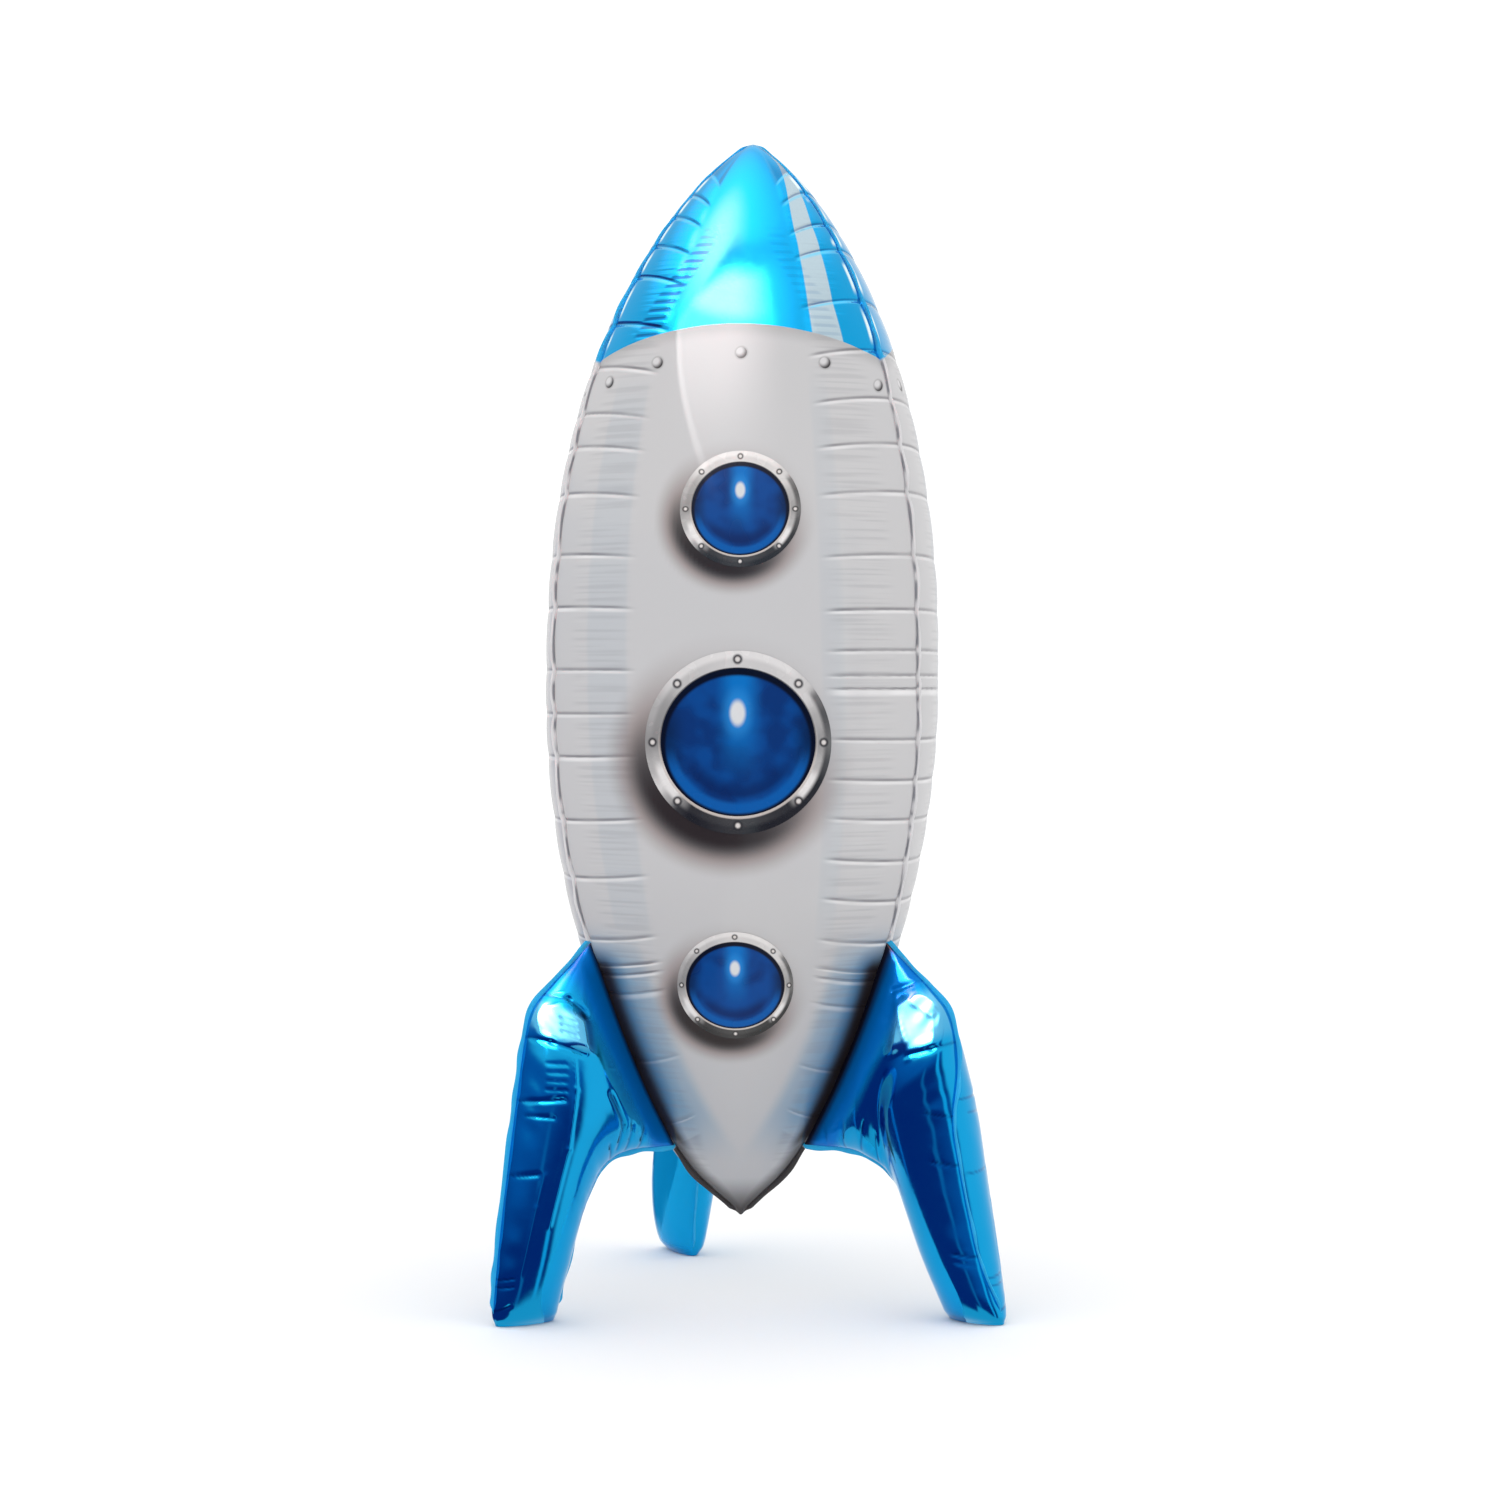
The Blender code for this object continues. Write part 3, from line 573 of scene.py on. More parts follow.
class Nodes:
    """Adds shader nodes to a tree and joins them."""

    def __init__(self, tree):
        self.tree = tree

    def put(self, socket, value):
        if isinstance(value, bpy.types.NodeSocket):
            self.tree.links.new(value, socket)
        elif value is not None:
            socket.default_value = value

    def add(self, kind, *inputs, **settings):
        """A node with its settings and its first inputs set or joined in order. Returns its first output."""
        node = self.tree.nodes.new("ShaderNode" + kind)
        for key, value in settings.items():
            setattr(node, key, value)
        for socket, value in zip(node.inputs, inputs):
            self.put(socket, value)
        return node.outputs[0]

    def math(self, operation, *inputs):
        return self.add("Math", *inputs, operation=operation)

    def minus(self, value, other):
        return self.math("SUBTRACT", value, other)

    def times(self, *factors):
        result = factors[0]
        for factor in factors[1:]:
            result = self.math("MULTIPLY", result, factor)
        return result

    def total(self, *terms):
        result = terms[0]
        for term in terms[1:]:
            result = self.math("ADD", result, term)
        return result

    def larger(self, value, other):
        return self.math("MAXIMUM", value, other)

    def length(self, x, y):
        """Length of an arrow with these two parts."""
        return self.math("SQRT", self.total(self.times(x, x), self.times(y, y)))

    def step(self, value, start, end):
        """0 up to start and 1 from end on, smooth between them."""
        if start < end:
            return self.add("MapRange", value, start, end, 0.0, 1.0, interpolation_type="SMOOTHSTEP")
        return self.add("MapRange", value, end, start, 1.0, 0.0, interpolation_type="SMOOTHSTEP")

    def span(self, value, low, high, fall, end):
        """1 between high and fall, going down to 0 at low and at end."""
        return self.times(self.step(value, low, high), self.step(value, end, fall))

    def spread(self, noise, low, high):
        """Spreads what a noise mostly gives from low to high."""
        return self.add("MapRange", noise, 0.3, 0.7, low, high)

    def place(self, source):
        return self.tree.nodes.new("ShaderNodeTexCoord").outputs[source]

    def parts(self, place):
        """The three coordinates of a place."""
        node = self.tree.nodes.new("ShaderNodeSeparateXYZ")
        self.put(node.inputs[0], place)
        return node.outputs

    def field(self, name):
        node = self.tree.nodes.new("ShaderNodeAttribute")
        node.attribute_name = name
        return node.outputs["Fac"]

    def mix(self, share, one, other, blend="MIX"):
        """A colour between two colours, or their product with the blend MULTIPLY and a share of 1."""
        node = self.tree.nodes.new("ShaderNodeMix")
        node.data_type = "RGBA"
        node.blend_type = blend
        self.put(node.inputs[0], share)
        for socket, value in ((node.inputs[6], one), (node.inputs[7], other)):
            self.put(socket, value if isinstance(value, bpy.types.NodeSocket) else (*value, 1.0))
        return node.outputs[2]

    def vector_math(self, operation, one, other):
        node = self.tree.nodes.new("ShaderNodeVectorMath")
        node.operation = operation
        self.put(node.inputs[0], one)
        self.put(node.inputs[1], other)
        return node.outputs["Value" if operation == "DISTANCE" else "Vector"]

    def ramp(self, value, stops):
        """Greys at shares from 0 to 1, smooth between them."""
        node = self.tree.nodes.new("ShaderNodeValToRGB")
        node.color_ramp.interpolation = "EASE"
        elements = node.color_ramp.elements
        for k, (place, grey) in enumerate(stops):
            element = elements[k] if k < 2 else elements.new(place)
            element.position = place
            element.color = (grey, grey, grey, 1.0)
        self.put(node.inputs[0], value)
        return node.outputs["Color"]

    def noise(self, scale, detail=2.0, stretch=(1.0, 1.0, 1.0), source="Object"):
        """Noise of the size 1 / scale metres, pulled out by dividing each axis by a stretch."""
        none = (0.0, 0.0, 0.0)
        stretched = self.add("Mapping", self.place(source), none, none, tuple(1.0 / s for s in stretch))
        node = self.tree.nodes.new("ShaderNodeTexNoise")
        self.put(node.inputs["Vector"], stretched)
        node.inputs["Scale"].default_value = scale
        node.inputs["Detail"].default_value = detail
        return node.outputs["Fac"]


class Finish(Nodes):
    """A material with a Principled shader."""

    def __init__(self, name, **sockets):
        self.material = bpy.data.materials.new(name)
        self.material.use_nodes = True
        super().__init__(self.material.node_tree)
        self.shader = self.tree.nodes["Principled BSDF"]
        for key, value in sockets.items():
            self.set(key.replace("_", " ").title().replace("Ior", "IOR"), value)
        self.colour = None

    def set(self, name, value):
        if isinstance(value, (tuple, list)) and len(value) == 3:
            value = (*value, 1.0)
        self.put(self.shader.inputs[name], value)

    def mottled(self, noise, colour, low, high=1.0):
        """A colour that varies between two brightnesses."""
        return self.mix(noise, scaled(colour, low), scaled(colour, high))

    def paint(self, colour, *shares):
        """Paints a colour over what is there, as strongly as the product of the shares."""
        self.colour = self.mix(self.times(*shares), self.colour, colour)

    def done(self, noise, smooth, rough, relief):
        """The material with its paint, a roughness between two values and a bump."""
        self.set("Base Color", self.colour)
        self.set("Roughness", self.spread(noise, smooth, rough))
        self.bump(relief)
        return self.material

    def crinkle(self, scale, height):
        """Fine relief in metres."""
        return self.times(self.noise(scale, 1.0), height)

    def bump(self, height):
        """Bump from a relief in metres."""
        node = self.tree.nodes.new("ShaderNodeBump")
        node.inputs["Strength"].default_value = 1.0
        node.inputs["Distance"].default_value = 1.0
        self.put(node.inputs["Height"], height)
        self.set("Normal", node.outputs["Normal"])


def scaled(colour, factor=1.0):
    return tuple(factor * part for part in colour)


def from_buckle(finish):
    """Height above the nearest buckle in metres, negative below it."""
    count = finish.field("buckle_count")
    return finish.times(finish.minus(count, finish.math("ROUND", count)), finish.field("buckle_gap"))


def ladder_wave(finish):
    """-1 to 1 up and down the ladder of short ripples on the nose."""
    height = finish.parts(finish.place("UV"))[1]
    bend = finish.times(finish.noise(30.0, 0.0), 1.2)
    return finish.math("SINE", finish.total(finish.times(height, 2.0 * math.pi / LADDER_SPACING), bend))


def ripple_noise(finish):
    """Long fine ripples across the seams, from -0.5 to 0.5."""
    return finish.minus(finish.noise(1.0, 0.8, (0.150, 0.0040, 1.0), "UV"), 0.5)


def buckle_relief(finish, sizes):
    """Relief of the sharp valleys across the seams and of the fine ripples between them, in metres."""
    distance = finish.math("ABSOLUTE", from_buckle(finish))
    reach = finish.field("buckle_reach")
    valley = finish.times(finish.step(distance, sizes.buckle_width, 0.0), reach, -sizes.buckle_depth)
    calm = finish.minus(1.0, finish.field("ladder"))
    ripple = finish.times(ripple_noise(finish), finish.field("ripple_reach"), calm, sizes.ripple_depth)
    ladder = finish.times(ladder_wave(finish), finish.field("ladder"), 0.25 * sizes.ripple_depth)
    return finish.total(valley, ripple, ladder)


def buckle_shading(finish, dark, light, line):
    """Paints shade along each buckle's fold and a painted highlight where the foil turns up below it."""
    above = from_buckle(finish)
    reach = finish.field("buckle_reach")
    patchy = finish.spread(finish.noise(22.0, 1.0), 0.45, 1.0)
    fold = finish.span(above, -0.6 * line, 0.1 * line, 0.7 * line, 2.2 * line)
    lip = finish.span(above, -3.6 * line, -1.6 * line, -1.1 * line, -0.3 * line)
    finish.paint(light, lip, reach, patchy, 0.7)
    finish.paint(dark, fold, reach, patchy, 0.75)


def blue_foil(colours, sizes):
    finish = Finish("gloss_blue_foil", specular_ior_level=0.0, coat_weight=0.12, coat_roughness=0.05)
    finish.colour = finish.mottled(finish.noise(9.0, 1.0), colours.foil_blue, 0.90)
    streak = finish.span(finish.field("streak_place"), -0.03, 0.03, 0.97, 1.03)
    finish.paint(scaled(colours.pale_streak), streak)
    buckle_shading(finish, (0.0, 0.075, 0.26), (0.10, 0.62, 0.90), 0.0011)
    # Painted shade in the troughs of the ladder of short ripples on the nose
    dash = finish.step(ladder_wave(finish), 0.0, -0.6)
    finish.paint((0.0, 0.10, 0.30), dash, finish.field("ladder"), 0.85)
    # Painted glints between two buckles, a little way in from the seam
    beside = finish.span(finish.field("inward"), 0.0030, 0.0045, 0.0070, 0.0100)
    between = finish.span(finish.math("FRACT", finish.field("buckle_count")), 0.08, 0.3, 0.6, 0.92)
    finish.paint((0.85, 1.0, 1.0), beside, between, finish.step(finish.noise(24.0, 1.0), 0.36, 0.46), 0.95)
    # A painted highlight on the knees' flatter facets, then painted shade in the folds of the creases
    finish.paint((0.13, 0.50, 0.78), finish.field("pale"))
    finish.paint((0.0, 0.06, 0.26), finish.field("crease"))
    root, shade = finish.field("root"), finish.field("shade")
    finish.paint((0.0, 0.16, 0.56), root)
    finish.paint((0.006, 0.006, 0.014), shade)
    matt = finish.larger(finish.times(streak, 0.65), finish.times(root, 0.6))
    matt = finish.larger(matt, finish.larger(finish.times(finish.field("matt"), 0.6), shade))
    finish.set("Metallic", finish.minus(1.0, matt))
    relief = finish.total(buckle_relief(finish, sizes), finish.crinkle(120.0, 0.00004))
    return finish.done(finish.noise(60.0, 2.0), 0.09, 0.14, relief)


def rivet_marks(finish):
    """Prints a row of rivets below the nose: each a pale dome with a dark crescent at its lower right."""
    place = finish.place("UV")
    for across, z in RIVETS:
        centre = (rivet_sideways(across, z), z, 0.0)
        lit = (centre[0] - 0.35 * RIVET_RADIUS, centre[1] + 0.35 * RIVET_RADIUS, 0.0)
        distance = finish.vector_math("DISTANCE", place, centre)
        from_lit = finish.vector_math("DISTANCE", place, lit)
        ring = finish.step(distance, 1.30 * RIVET_RADIUS, 0.95 * RIVET_RADIUS)
        finish.paint((0.10, 0.09, 0.09), ring, 0.32)
        crescent = finish.step(from_lit, 0.35 * RIVET_RADIUS, 1.30 * RIVET_RADIUS)
        dome = finish.mix(crescent, (0.58, 0.57, 0.58), (0.035, 0.032, 0.035))
        finish.paint(dome, finish.step(distance, RIVET_RADIUS, 0.85 * RIVET_RADIUS))


def silver_foil(colours, sizes):
    finish = Finish("pearl_silver_foil", specular_ior_level=0.04, coat_weight=0.46, coat_roughness=0.05)
    finish.colour = finish.mottled(finish.noise(7.0, 1.0), colours.pearl_silver, 0.97)
    finish.paint(scaled(colours.blue_grey_ink), finish.field("blue_ink"))
    # Painted shade in the low parts of the fine ripples
    ripple = finish.times(ripple_noise(finish), finish.field("ripple_reach"))
    finish.paint((0.26, 0.26, 0.28), finish.step(ripple, 0.05, -0.14), 0.22)
    buckle_shading(finish, (0.16, 0.155, 0.17), (0.84, 0.83, 0.84), 0.0013)
    # Where an ink is thin it shows its own colour: blue beside the fins and brown round the portholes.
    black = scaled(colours.black_ink_and_shade)
    thin_black = finish.mix(finish.field("blue_ink"), black, (0.010, 0.075, 0.170))
    for field, thin in (("black_ink_and_shade", thin_black), ("shadow_ink", (0.160, 0.095, 0.080))):
        ink = finish.mix(finish.step(finish.field(field), 0.45, 0.95), thin, black)
        finish.paint(ink, finish.field(field))
    # Dark dashes along the seam, between two buckles
    beside = finish.step(finish.field("inward"), 0.0030, 0.0018)
    between = finish.span(finish.math("FRACT", finish.field("buckle_count")), *DASH_SPAN)
    finish.paint((0.14, 0.15, 0.20), beside, between, finish.step(finish.noise(45.0, 1.0), 0.46, 0.62), 0.5)
    rivet_marks(finish)
    relief = finish.total(buckle_relief(finish, sizes), finish.crinkle(120.0, 0.00002))
    return finish.done(finish.noise(50.0, 2.0), 0.30, 0.38, relief)


def rim_print(colours):
    """Painted look of a round metal rim: a sheen that changes round it, rivets and a bright inner lip."""
    finish = Finish("rim_paint", metallic=0.05, specular_ior_level=0.3, coat_weight=0.6, coat_roughness=0.05)
    rivet_count, ring = finish.field("rivet_count"), finish.field("ring")
    turn = finish.times(rivet_count, 1.0 / RIM_RIVETS)
    grain = finish.noise(90.0, 1.0)
    finish.colour = finish.mix(
        finish.step(ring, 0.42, 0.74), finish.ramp(turn, RIM_SHEEN), finish.ramp(turn, RIM_OUTER_SHEEN))
    finish.paint((0.78, 0.72, 0.68), finish.step(ring, 0.20, 0.10), finish.ramp(turn, RIM_LIP))
    finish.paint((0.01, 0.01, 0.015), finish.step(ring, 0.10, 0.03), finish.ramp(turn, RIM_LINE))
    off_turn = finish.minus(finish.math("FRACT", finish.total(rivet_count, 0.5)), 0.5)
    off_ring = finish.minus(ring, 0.52)
    distance = finish.length(finish.times(off_turn, 1.0 / 0.062), finish.times(off_ring, 1.0 / 0.240))
    finish.paint((0.03, 0.03, 0.03), finish.step(distance, 1.45, 0.95), 0.75)
    rivet = finish.mix(finish.step(distance, 0.30, 0.85), (0.95, 0.92, 0.90), (0.06, 0.055, 0.055))
    finish.paint(rivet, finish.step(distance, 1.0, 0.85))
    tone = finish.mottled(grain, colours.rim_grey, 0.96)
    finish.colour = finish.mix(1.0, finish.colour, tone, "MULTIPLY")
    return finish.done(grain, 0.22, 0.30, finish.crinkle(120.0, 0.00002))


def glass_print(colours):
    """Painted look of a domed blue glass: a streak of light, a bright spot and a lit lower rim."""
    finish = Finish("glass_paint", specular_ior_level=0.1, coat_weight=0.12, coat_roughness=0.05)
    x, y, _ = finish.parts(finish.place("UV"))
    out = finish.length(x, y)
    blotch = finish.noise(42.0, 1.5)
    finish.colour = scaled(colours.glass_blue)
    deep = tuple(share * part for share, part in zip((0.10, 0.30, 0.45), colours.glass_blue))
    finish.paint(deep, finish.step(blotch, 0.36, 0.66), 0.65)
    # Streak of light from the top to below the middle
    aside = finish.math("ABSOLUTE", finish.minus(x, 0.02))
    finish.paint((0.0, 0.16, 0.52), finish.step(aside, 0.34, 0.04), finish.step(y, -0.65, 0.55), 0.8)
    # Dark flanks, then the lit crescent inside the lower rim
    flank = finish.step(finish.math("ABSOLUTE", x), 0.62, 0.95)
    finish.paint((0.001, 0.012, 0.05), flank, finish.step(y, 0.75, 0.15), 0.8)
    belly = finish.span(out, 0.45, 0.68, 0.70, 0.80)
    finish.paint((0.001, 0.014, 0.09), belly, finish.step(y, -0.15, -0.5), 0.75)
    finish.paint((0.001, 0.092, 0.36), finish.step(out, 0.78, 0.86), finish.step(y, 0.0, -0.45), 0.9)
    edge = finish.step(finish.total(out, finish.times(y, 0.03)), 0.91, 0.96)
    finish.paint((0.002, 0.004, 0.015), edge)
    # Bright spot with a soft glow
    spot = finish.length(finish.times(x, 1.0 / 0.11), finish.times(finish.minus(y, 0.40), 1.0 / 0.19))
    finish.paint((0.05, 0.38, 0.85), finish.step(spot, 2.3, 0.8), 0.25)
    finish.paint((0.60, 0.61, 0.63), finish.step(spot, 1.15, 0.60))
    return finish.done(blotch, 0.22, 0.30, finish.crinkle(120.0, 0.00002))


def hem_foil(colours):
    """Flat sealed foil: pearl beside the hull and blue elsewhere, with dark dashes along the seal."""
    finish = Finish("hem_foil", metallic=0.0, specular_ior_level=0.1)
    pearl = finish.field("pearl")
    outward = finish.parts(finish.place("UV"))[0]
    grain = finish.noise(260.0, 2.0)
    blue = finish.mix(grain, (0.025, 0.37, 0.68), (0.030, 0.40, 0.72))
    # The pearl here is a lighter copy of the hull's colour: painted light that evens out the shade in the
    # seam's valley
    finish.colour = finish.mix(pearl, blue, finish.mottled(grain, colours.pearl_silver, 1.22, 1.34))
    strength = finish.total(0.3, finish.times(pearl, 0.4))
    finish.paint((0.10, 0.11, 0.14), finish.step(outward, 0.60, 0.40), finish.field("dash"), strength)
    finish.paint((0.018, 0.012, 0.012), finish.field("ink"), 0.93)
    return finish.done(grain, 0.45, 0.55, finish.crinkle(160.0, 0.00003))


def clear_film(colours):
    finish = Finish("valve_film", transmission_weight=0.7, ior=1.1)
    haze = finish.noise(140.0, 3.0)
    finish.colour = finish.mottled(haze, colours.clear_film, 0.9)
    return finish.done(haze, 0.15, 0.32, finish.crinkle(110.0, 0.00015))


class BalloonSizes(bpy.types.PropertyGroup):
    pillow_height: bpy.props.FloatProperty(
        name="Pillow height", description="How far the foil bulges out between two buckles",
        default=0.0014, unit="LENGTH")
    buckle_depth: bpy.props.FloatProperty(
        name="Buckle depth", description="Depth of a sharp valley across a seam",
        default=0.0011, unit="LENGTH")
    buckle_width: bpy.props.FloatProperty(
        name="Buckle width", description="Half the width of a sharp valley",
        default=0.0035, unit="LENGTH")
    ripple_depth: bpy.props.FloatProperty(
        name="Ripple depth", description="Height of the fine ripples between buckles",
        default=0.0006, unit="LENGTH")
    hem_width: bpy.props.FloatProperty(
        name="Hem width", description="Width of the sealed edge outside a seam", default=0.005, unit="LENGTH")


class BalloonColours(bpy.types.PropertyGroup):
    foil_blue: bpy.props.FloatVectorProperty(
        name="Foil blue", description="Colour of the nose and the fins", subtype="COLOR",
        default=(0.004, 0.370, 0.740))
    pearl_silver: bpy.props.FloatVectorProperty(
        name="Pearl silver", description="Colour of the hull", subtype="COLOR", default=(0.520, 0.514, 0.522))
    rim_grey: bpy.props.FloatVectorProperty(
        name="Rim grey", description="Colour of the printed porthole rims", subtype="COLOR",
        default=(0.700, 0.675, 0.665))
    glass_blue: bpy.props.FloatVectorProperty(
        name="Glass blue", description="Colour of the printed porthole glass", subtype="COLOR",
        default=(0.001, 0.052, 0.240))
    pale_streak: bpy.props.FloatVectorProperty(
        name="Pale streak", description="Colour of the printed streak on the nose", subtype="COLOR",
        default=(0.430, 0.540, 0.600))
    blue_grey_ink: bpy.props.FloatVectorProperty(
        name="Blue-grey ink", description="Airbrush colour of the hull's bands and of its sides by the fins",
        subtype="COLOR", default=(0.165, 0.300, 0.420))
    black_ink_and_shade: bpy.props.FloatVectorProperty(
        name="Black ink", description="Airbrush colour of the shadows", subtype="COLOR",
        default=(0.018, 0.012, 0.012))
    clear_film: bpy.props.FloatVectorProperty(
        name="Clear film", description="Colour of the inflation valve's tab", subtype="COLOR",
        default=(0.700, 0.720, 0.740))


class BALLOON_OT_panels(bpy.types.Operator):
    """Makes the nose and the hull of every foil panel"""

    bl_idname = "balloon.panels"
    bl_label = "Foil panels"

    def execute(self, context):
        sizes, colours = context.scene.balloon_sizes, context.scene.balloon_colours
        blue, silver = blue_foil(colours, sizes), silver_foil(colours, sizes)
        marks, heights = height_marks()
        across = shares(PANEL_COLUMNS, 0.75)[None, :]
        edge = np.interp(nose_edge(across), heights, marks)
        hull_rows = np.linspace(0.0, 1.0, HULL_ROWS + 1)[:, None]
        nose_rows = np.linspace(0.0, 1.0, NOSE_ROWS + 1)[1:, None]
        hull_length = TIP_SHARE + hull_rows * (edge - TIP_SHARE)
        length = np.vstack((hull_length, edge + nose_rows * (1.0 - TIP_SHARE - edge)))
        z = np.interp(length, marks, heights)
        across = np.broadcast_to(across, z.shape)
        for panel in PANELS:
            fields = panel_fields(panel, across, z)
            lift = pillow(*(fields[key] for key in PILLOW_FIELDS), sizes.pillow_height)
            points = panel_points(panel, across, z, lift * near_tips(z))
            normals = grid_normals(points)
            uv = np.stack((rivet_sideways(across, z), z), -1)
            zones = (
                ("hull", slice(0, HULL_ROWS + 1), silver, "silver_foil"),
                ("nose", slice(HULL_ROWS, None), blue, "blue_foil"),
            )
            for zone, rows, material, slot in zones:
                part = points[rows]
                shown = {key: values[rows] for key, values in fields.items()}
                make_piece(
                    f"{zone}_foil_{panel}", part, grid_faces(*part.shape[:2], False), material,
                    f"{zone}_panel_{panel}", uv[rows], shown, normals[rows],
                )
        return {"FINISHED"}


def seam_place(seam, rho, z, aside):
    """Points near the plane of a seam, on a leg that is turned about its own middle."""
    turn = math.radians(LEG_TURN[seam]) * ease(along(LEG_TURN_SHARE, z)) * rise(rho, *LEG_TURN_REACH)
    middle = along(LEG_MIDDLE, z)
    turned_rho = middle + (rho - middle) * np.cos(turn) - aside * np.sin(turn)
    turned_aside = (rho - middle) * np.sin(turn) + aside * np.cos(turn)
    sway = FOOT_SWAY[seam] * (rho / FOOT_RHO) ** 2 * ease(1.0 - z / FIN_TOP_Z)
    return settled(SEAM_AZIMUTHS[seam], turned_rho, turned_aside + sway, z)


def crease_relief(rho, z, creases):
    """Height of the foil over its smooth shape, and the strength of the painted shade line in each fold."""
    relief, line = np.zeros_like(rho), np.zeros_like(rho)
    for rho_0, z_0, rho_1, z_1, depth, width in creases:
        run, climb = rho_1 - rho_0, z_1 - z_0
        share = np.clip(((rho - rho_0) * run + (z - z_0) * climb) / (run * run + climb * climb), 0.0, 1.0)
        distance = np.hypot(rho - rho_0 - share * run, z - z_0 - share * climb) / width
        relief = relief - depth * (1.0 - np.minimum(distance, 1.0)) ** 2
        if depth > CREASE_LINE_DEPTH:
            line = np.maximum(line, fade(distance, 0.0, CREASE_LINE))
    return relief, 0.6 * line


def flattened(skin, rho, z, facets):
    """The foil's distance from the seam's plane, the knee's facets pulled flatter, and their painted
    highlight.
    """
    pale = np.zeros_like(skin)
    for rho_0, z_0, half_rho, half_z, slope, lean_out, lean_up, flatness in facets:
        out, up = rho - rho_0, z - z_0
        middle = skin.ravel()[np.argmin(out * out + up * up)]
        plane = middle - FACET_DROP + lean_out * out + lean_up * up
        inside = fade(np.abs(out) / half_rho, 0.48, 0.8) * fade(np.abs(up - slope * out) / half_z, 0.72, 0.6)
        skin = skin + flatness * inside * (np.clip(plane, 0.7 * skin, 1.3 * skin) - skin)
        pale = np.maximum(pale, inside)
    return skin, pale


def fin_sections(rows):
    """Outer rho and z, inner rho and z, and half thickness of a fin at each section row."""
    table = [(k, *sizes) for k, sizes in enumerate(FIN_SECTIONS)]
    return np.moveaxis(along(table, rows), -1, 0)


def out_to_hull(rows, station):
    """How far a fin's first rows move outwards, so that its root lies on the hull."""
    root_outer, root_outer_z, root_inner, root_inner_z, _ = FIN_SECTIONS[0]
    root_z = root_inner_z + station * (root_outer_z - root_inner_z)
    bulge = profile(root_z) * section(0.0) - (root_inner + station * (root_outer - root_inner))
    return bulge * fade(rows, 0.0, FIN_ROOT_ROWS)


def edge_puckers(rows, station):
    """Small puckers that run in from both edges of a fin's face."""
    outer = np.sin(8.1 * rows + 1.3 * np.sin(2.3 * rows)) * rise(station, 0.80, 0.15)
    inner = np.sin(6.3 * rows + 1.1 * np.sin(3.1 * rows) + 1.0) * ease((0.24 - station) / 0.20)
    return 0.0004 * outer + 0.0003 * inner


def fin_grid(seam, side):
    """Points of one foil face of a fin, with the section row and the station of each."""
    last = len(FIN_SECTIONS) - 1.0
    rows = np.concatenate((np.linspace(0.0, last, FIN_ROWS + 1), [last]))[:, None]
    angle = np.linspace(0.0, math.pi, FIN_STATIONS + 1)
    station = ((1.0 - np.cos(angle)) / 2.0)[None, :]
    rows, station = np.broadcast_arrays(rows, station)
    outer_rho, outer_z, inner_rho, inner_z, half = fin_sections(rows)
    rho = inner_rho + station * (outer_rho - inner_rho) + out_to_hull(rows, station)
    z = inner_z + station * (outer_z - inner_z)
    half = half * (1.0 + (LEG_FULLNESS[seam] - 1.0) * rise(rows, *LEG_ROWS))
    fullness = 4.0 * station * (1.0 - station)
    like_left = (seam, FACES[seam][0 if side < 0 else 1]) in LIKE_LEFT
    relief, crease = crease_relief(rho, z, LEFT_CREASES if like_left else RIGHT_CREASES)
    relief = relief + edge_puckers(rows, station)
    facets = LEFT_FACETS if like_left else RIGHT_FACETS
    skin, pale = flattened(half * np.sqrt(fullness), rho, z, facets)
    skin = skin + relief * fullness ** 0.25 * ease(rows / 0.6) * ease((last - rows) / 0.5)
    skin[-1] = 0.0
    return rows, station, seam_place(seam, rho, z, side * np.maximum(skin, 0.0)), crease, pale


class BALLOON_OT_fins(bpy.types.Operator):
    """Makes the two foil faces of every fin"""

    bl_idname = "balloon.fins"
    bl_label = "Fins"

    def execute(self, context):
        blue = bpy.data.materials["gloss_blue_foil"]
        for seam, labels in FACES.items():
            for label, side in zip(labels, (-1, 1)):
                rows, station, points, crease, pale = fin_grid(seam, side)
                face = (seam, label)
                matt = window(rows, 4.5, 5.5, 9.5, 10.5) * fade(station, 0.45, 0.25)
                fields = {
                    "streak_place": np.full(rows.shape, -1.0),
                    # Painted shade in the creases' folds and a painted highlight on the knees' facets
                    "crease": crease,
                    "pale": pale,
                    "root": fade(rows, *OWN_BLUE.get(face, ROOT_BLUE)),
                    "shade": fade(rows, *OWN_SHADOW.get(face, ROOT_SHADOW)),
                    "matt": matt * (face == MATT_FACE),
                }
                make_piece(
                    f"fin_foil_{seam}_{label}", points, grid_faces(*points.shape[:2], side < 0), blue,
                    f"fin_{seam}_{label}_face", np.stack((station, rows), -1), fields,
                )
        return {"FINISHED"}


def edge_of_fin(rows, station):
    """Outer (1) or inner (0) edge of a fin in the plane of its seam: distance from the axis, then height."""
    outer_rho, outer_z, inner_rho, inner_z, _ = fin_sections(rows)
    out = out_to_hull(rows, np.array(float(station)))
    return (outer_rho + out, outer_z) if station else (inner_rho + out, inner_z)


def hull_edge(seam, z, height):
    """The seam down the hull, lifted by the pillows beside it."""
    count, gap = buckle_place(seam, z)
    reach = ease((HEIGHT - z) / BUCKLE_TIP) * rise(z, TAIL_Z, HEM_CALM_TAIL)
    lift = pillow(count, gap, 0.0, reach, height)
    return profile(z) * section(0.0) + lift * near_tips(z), z


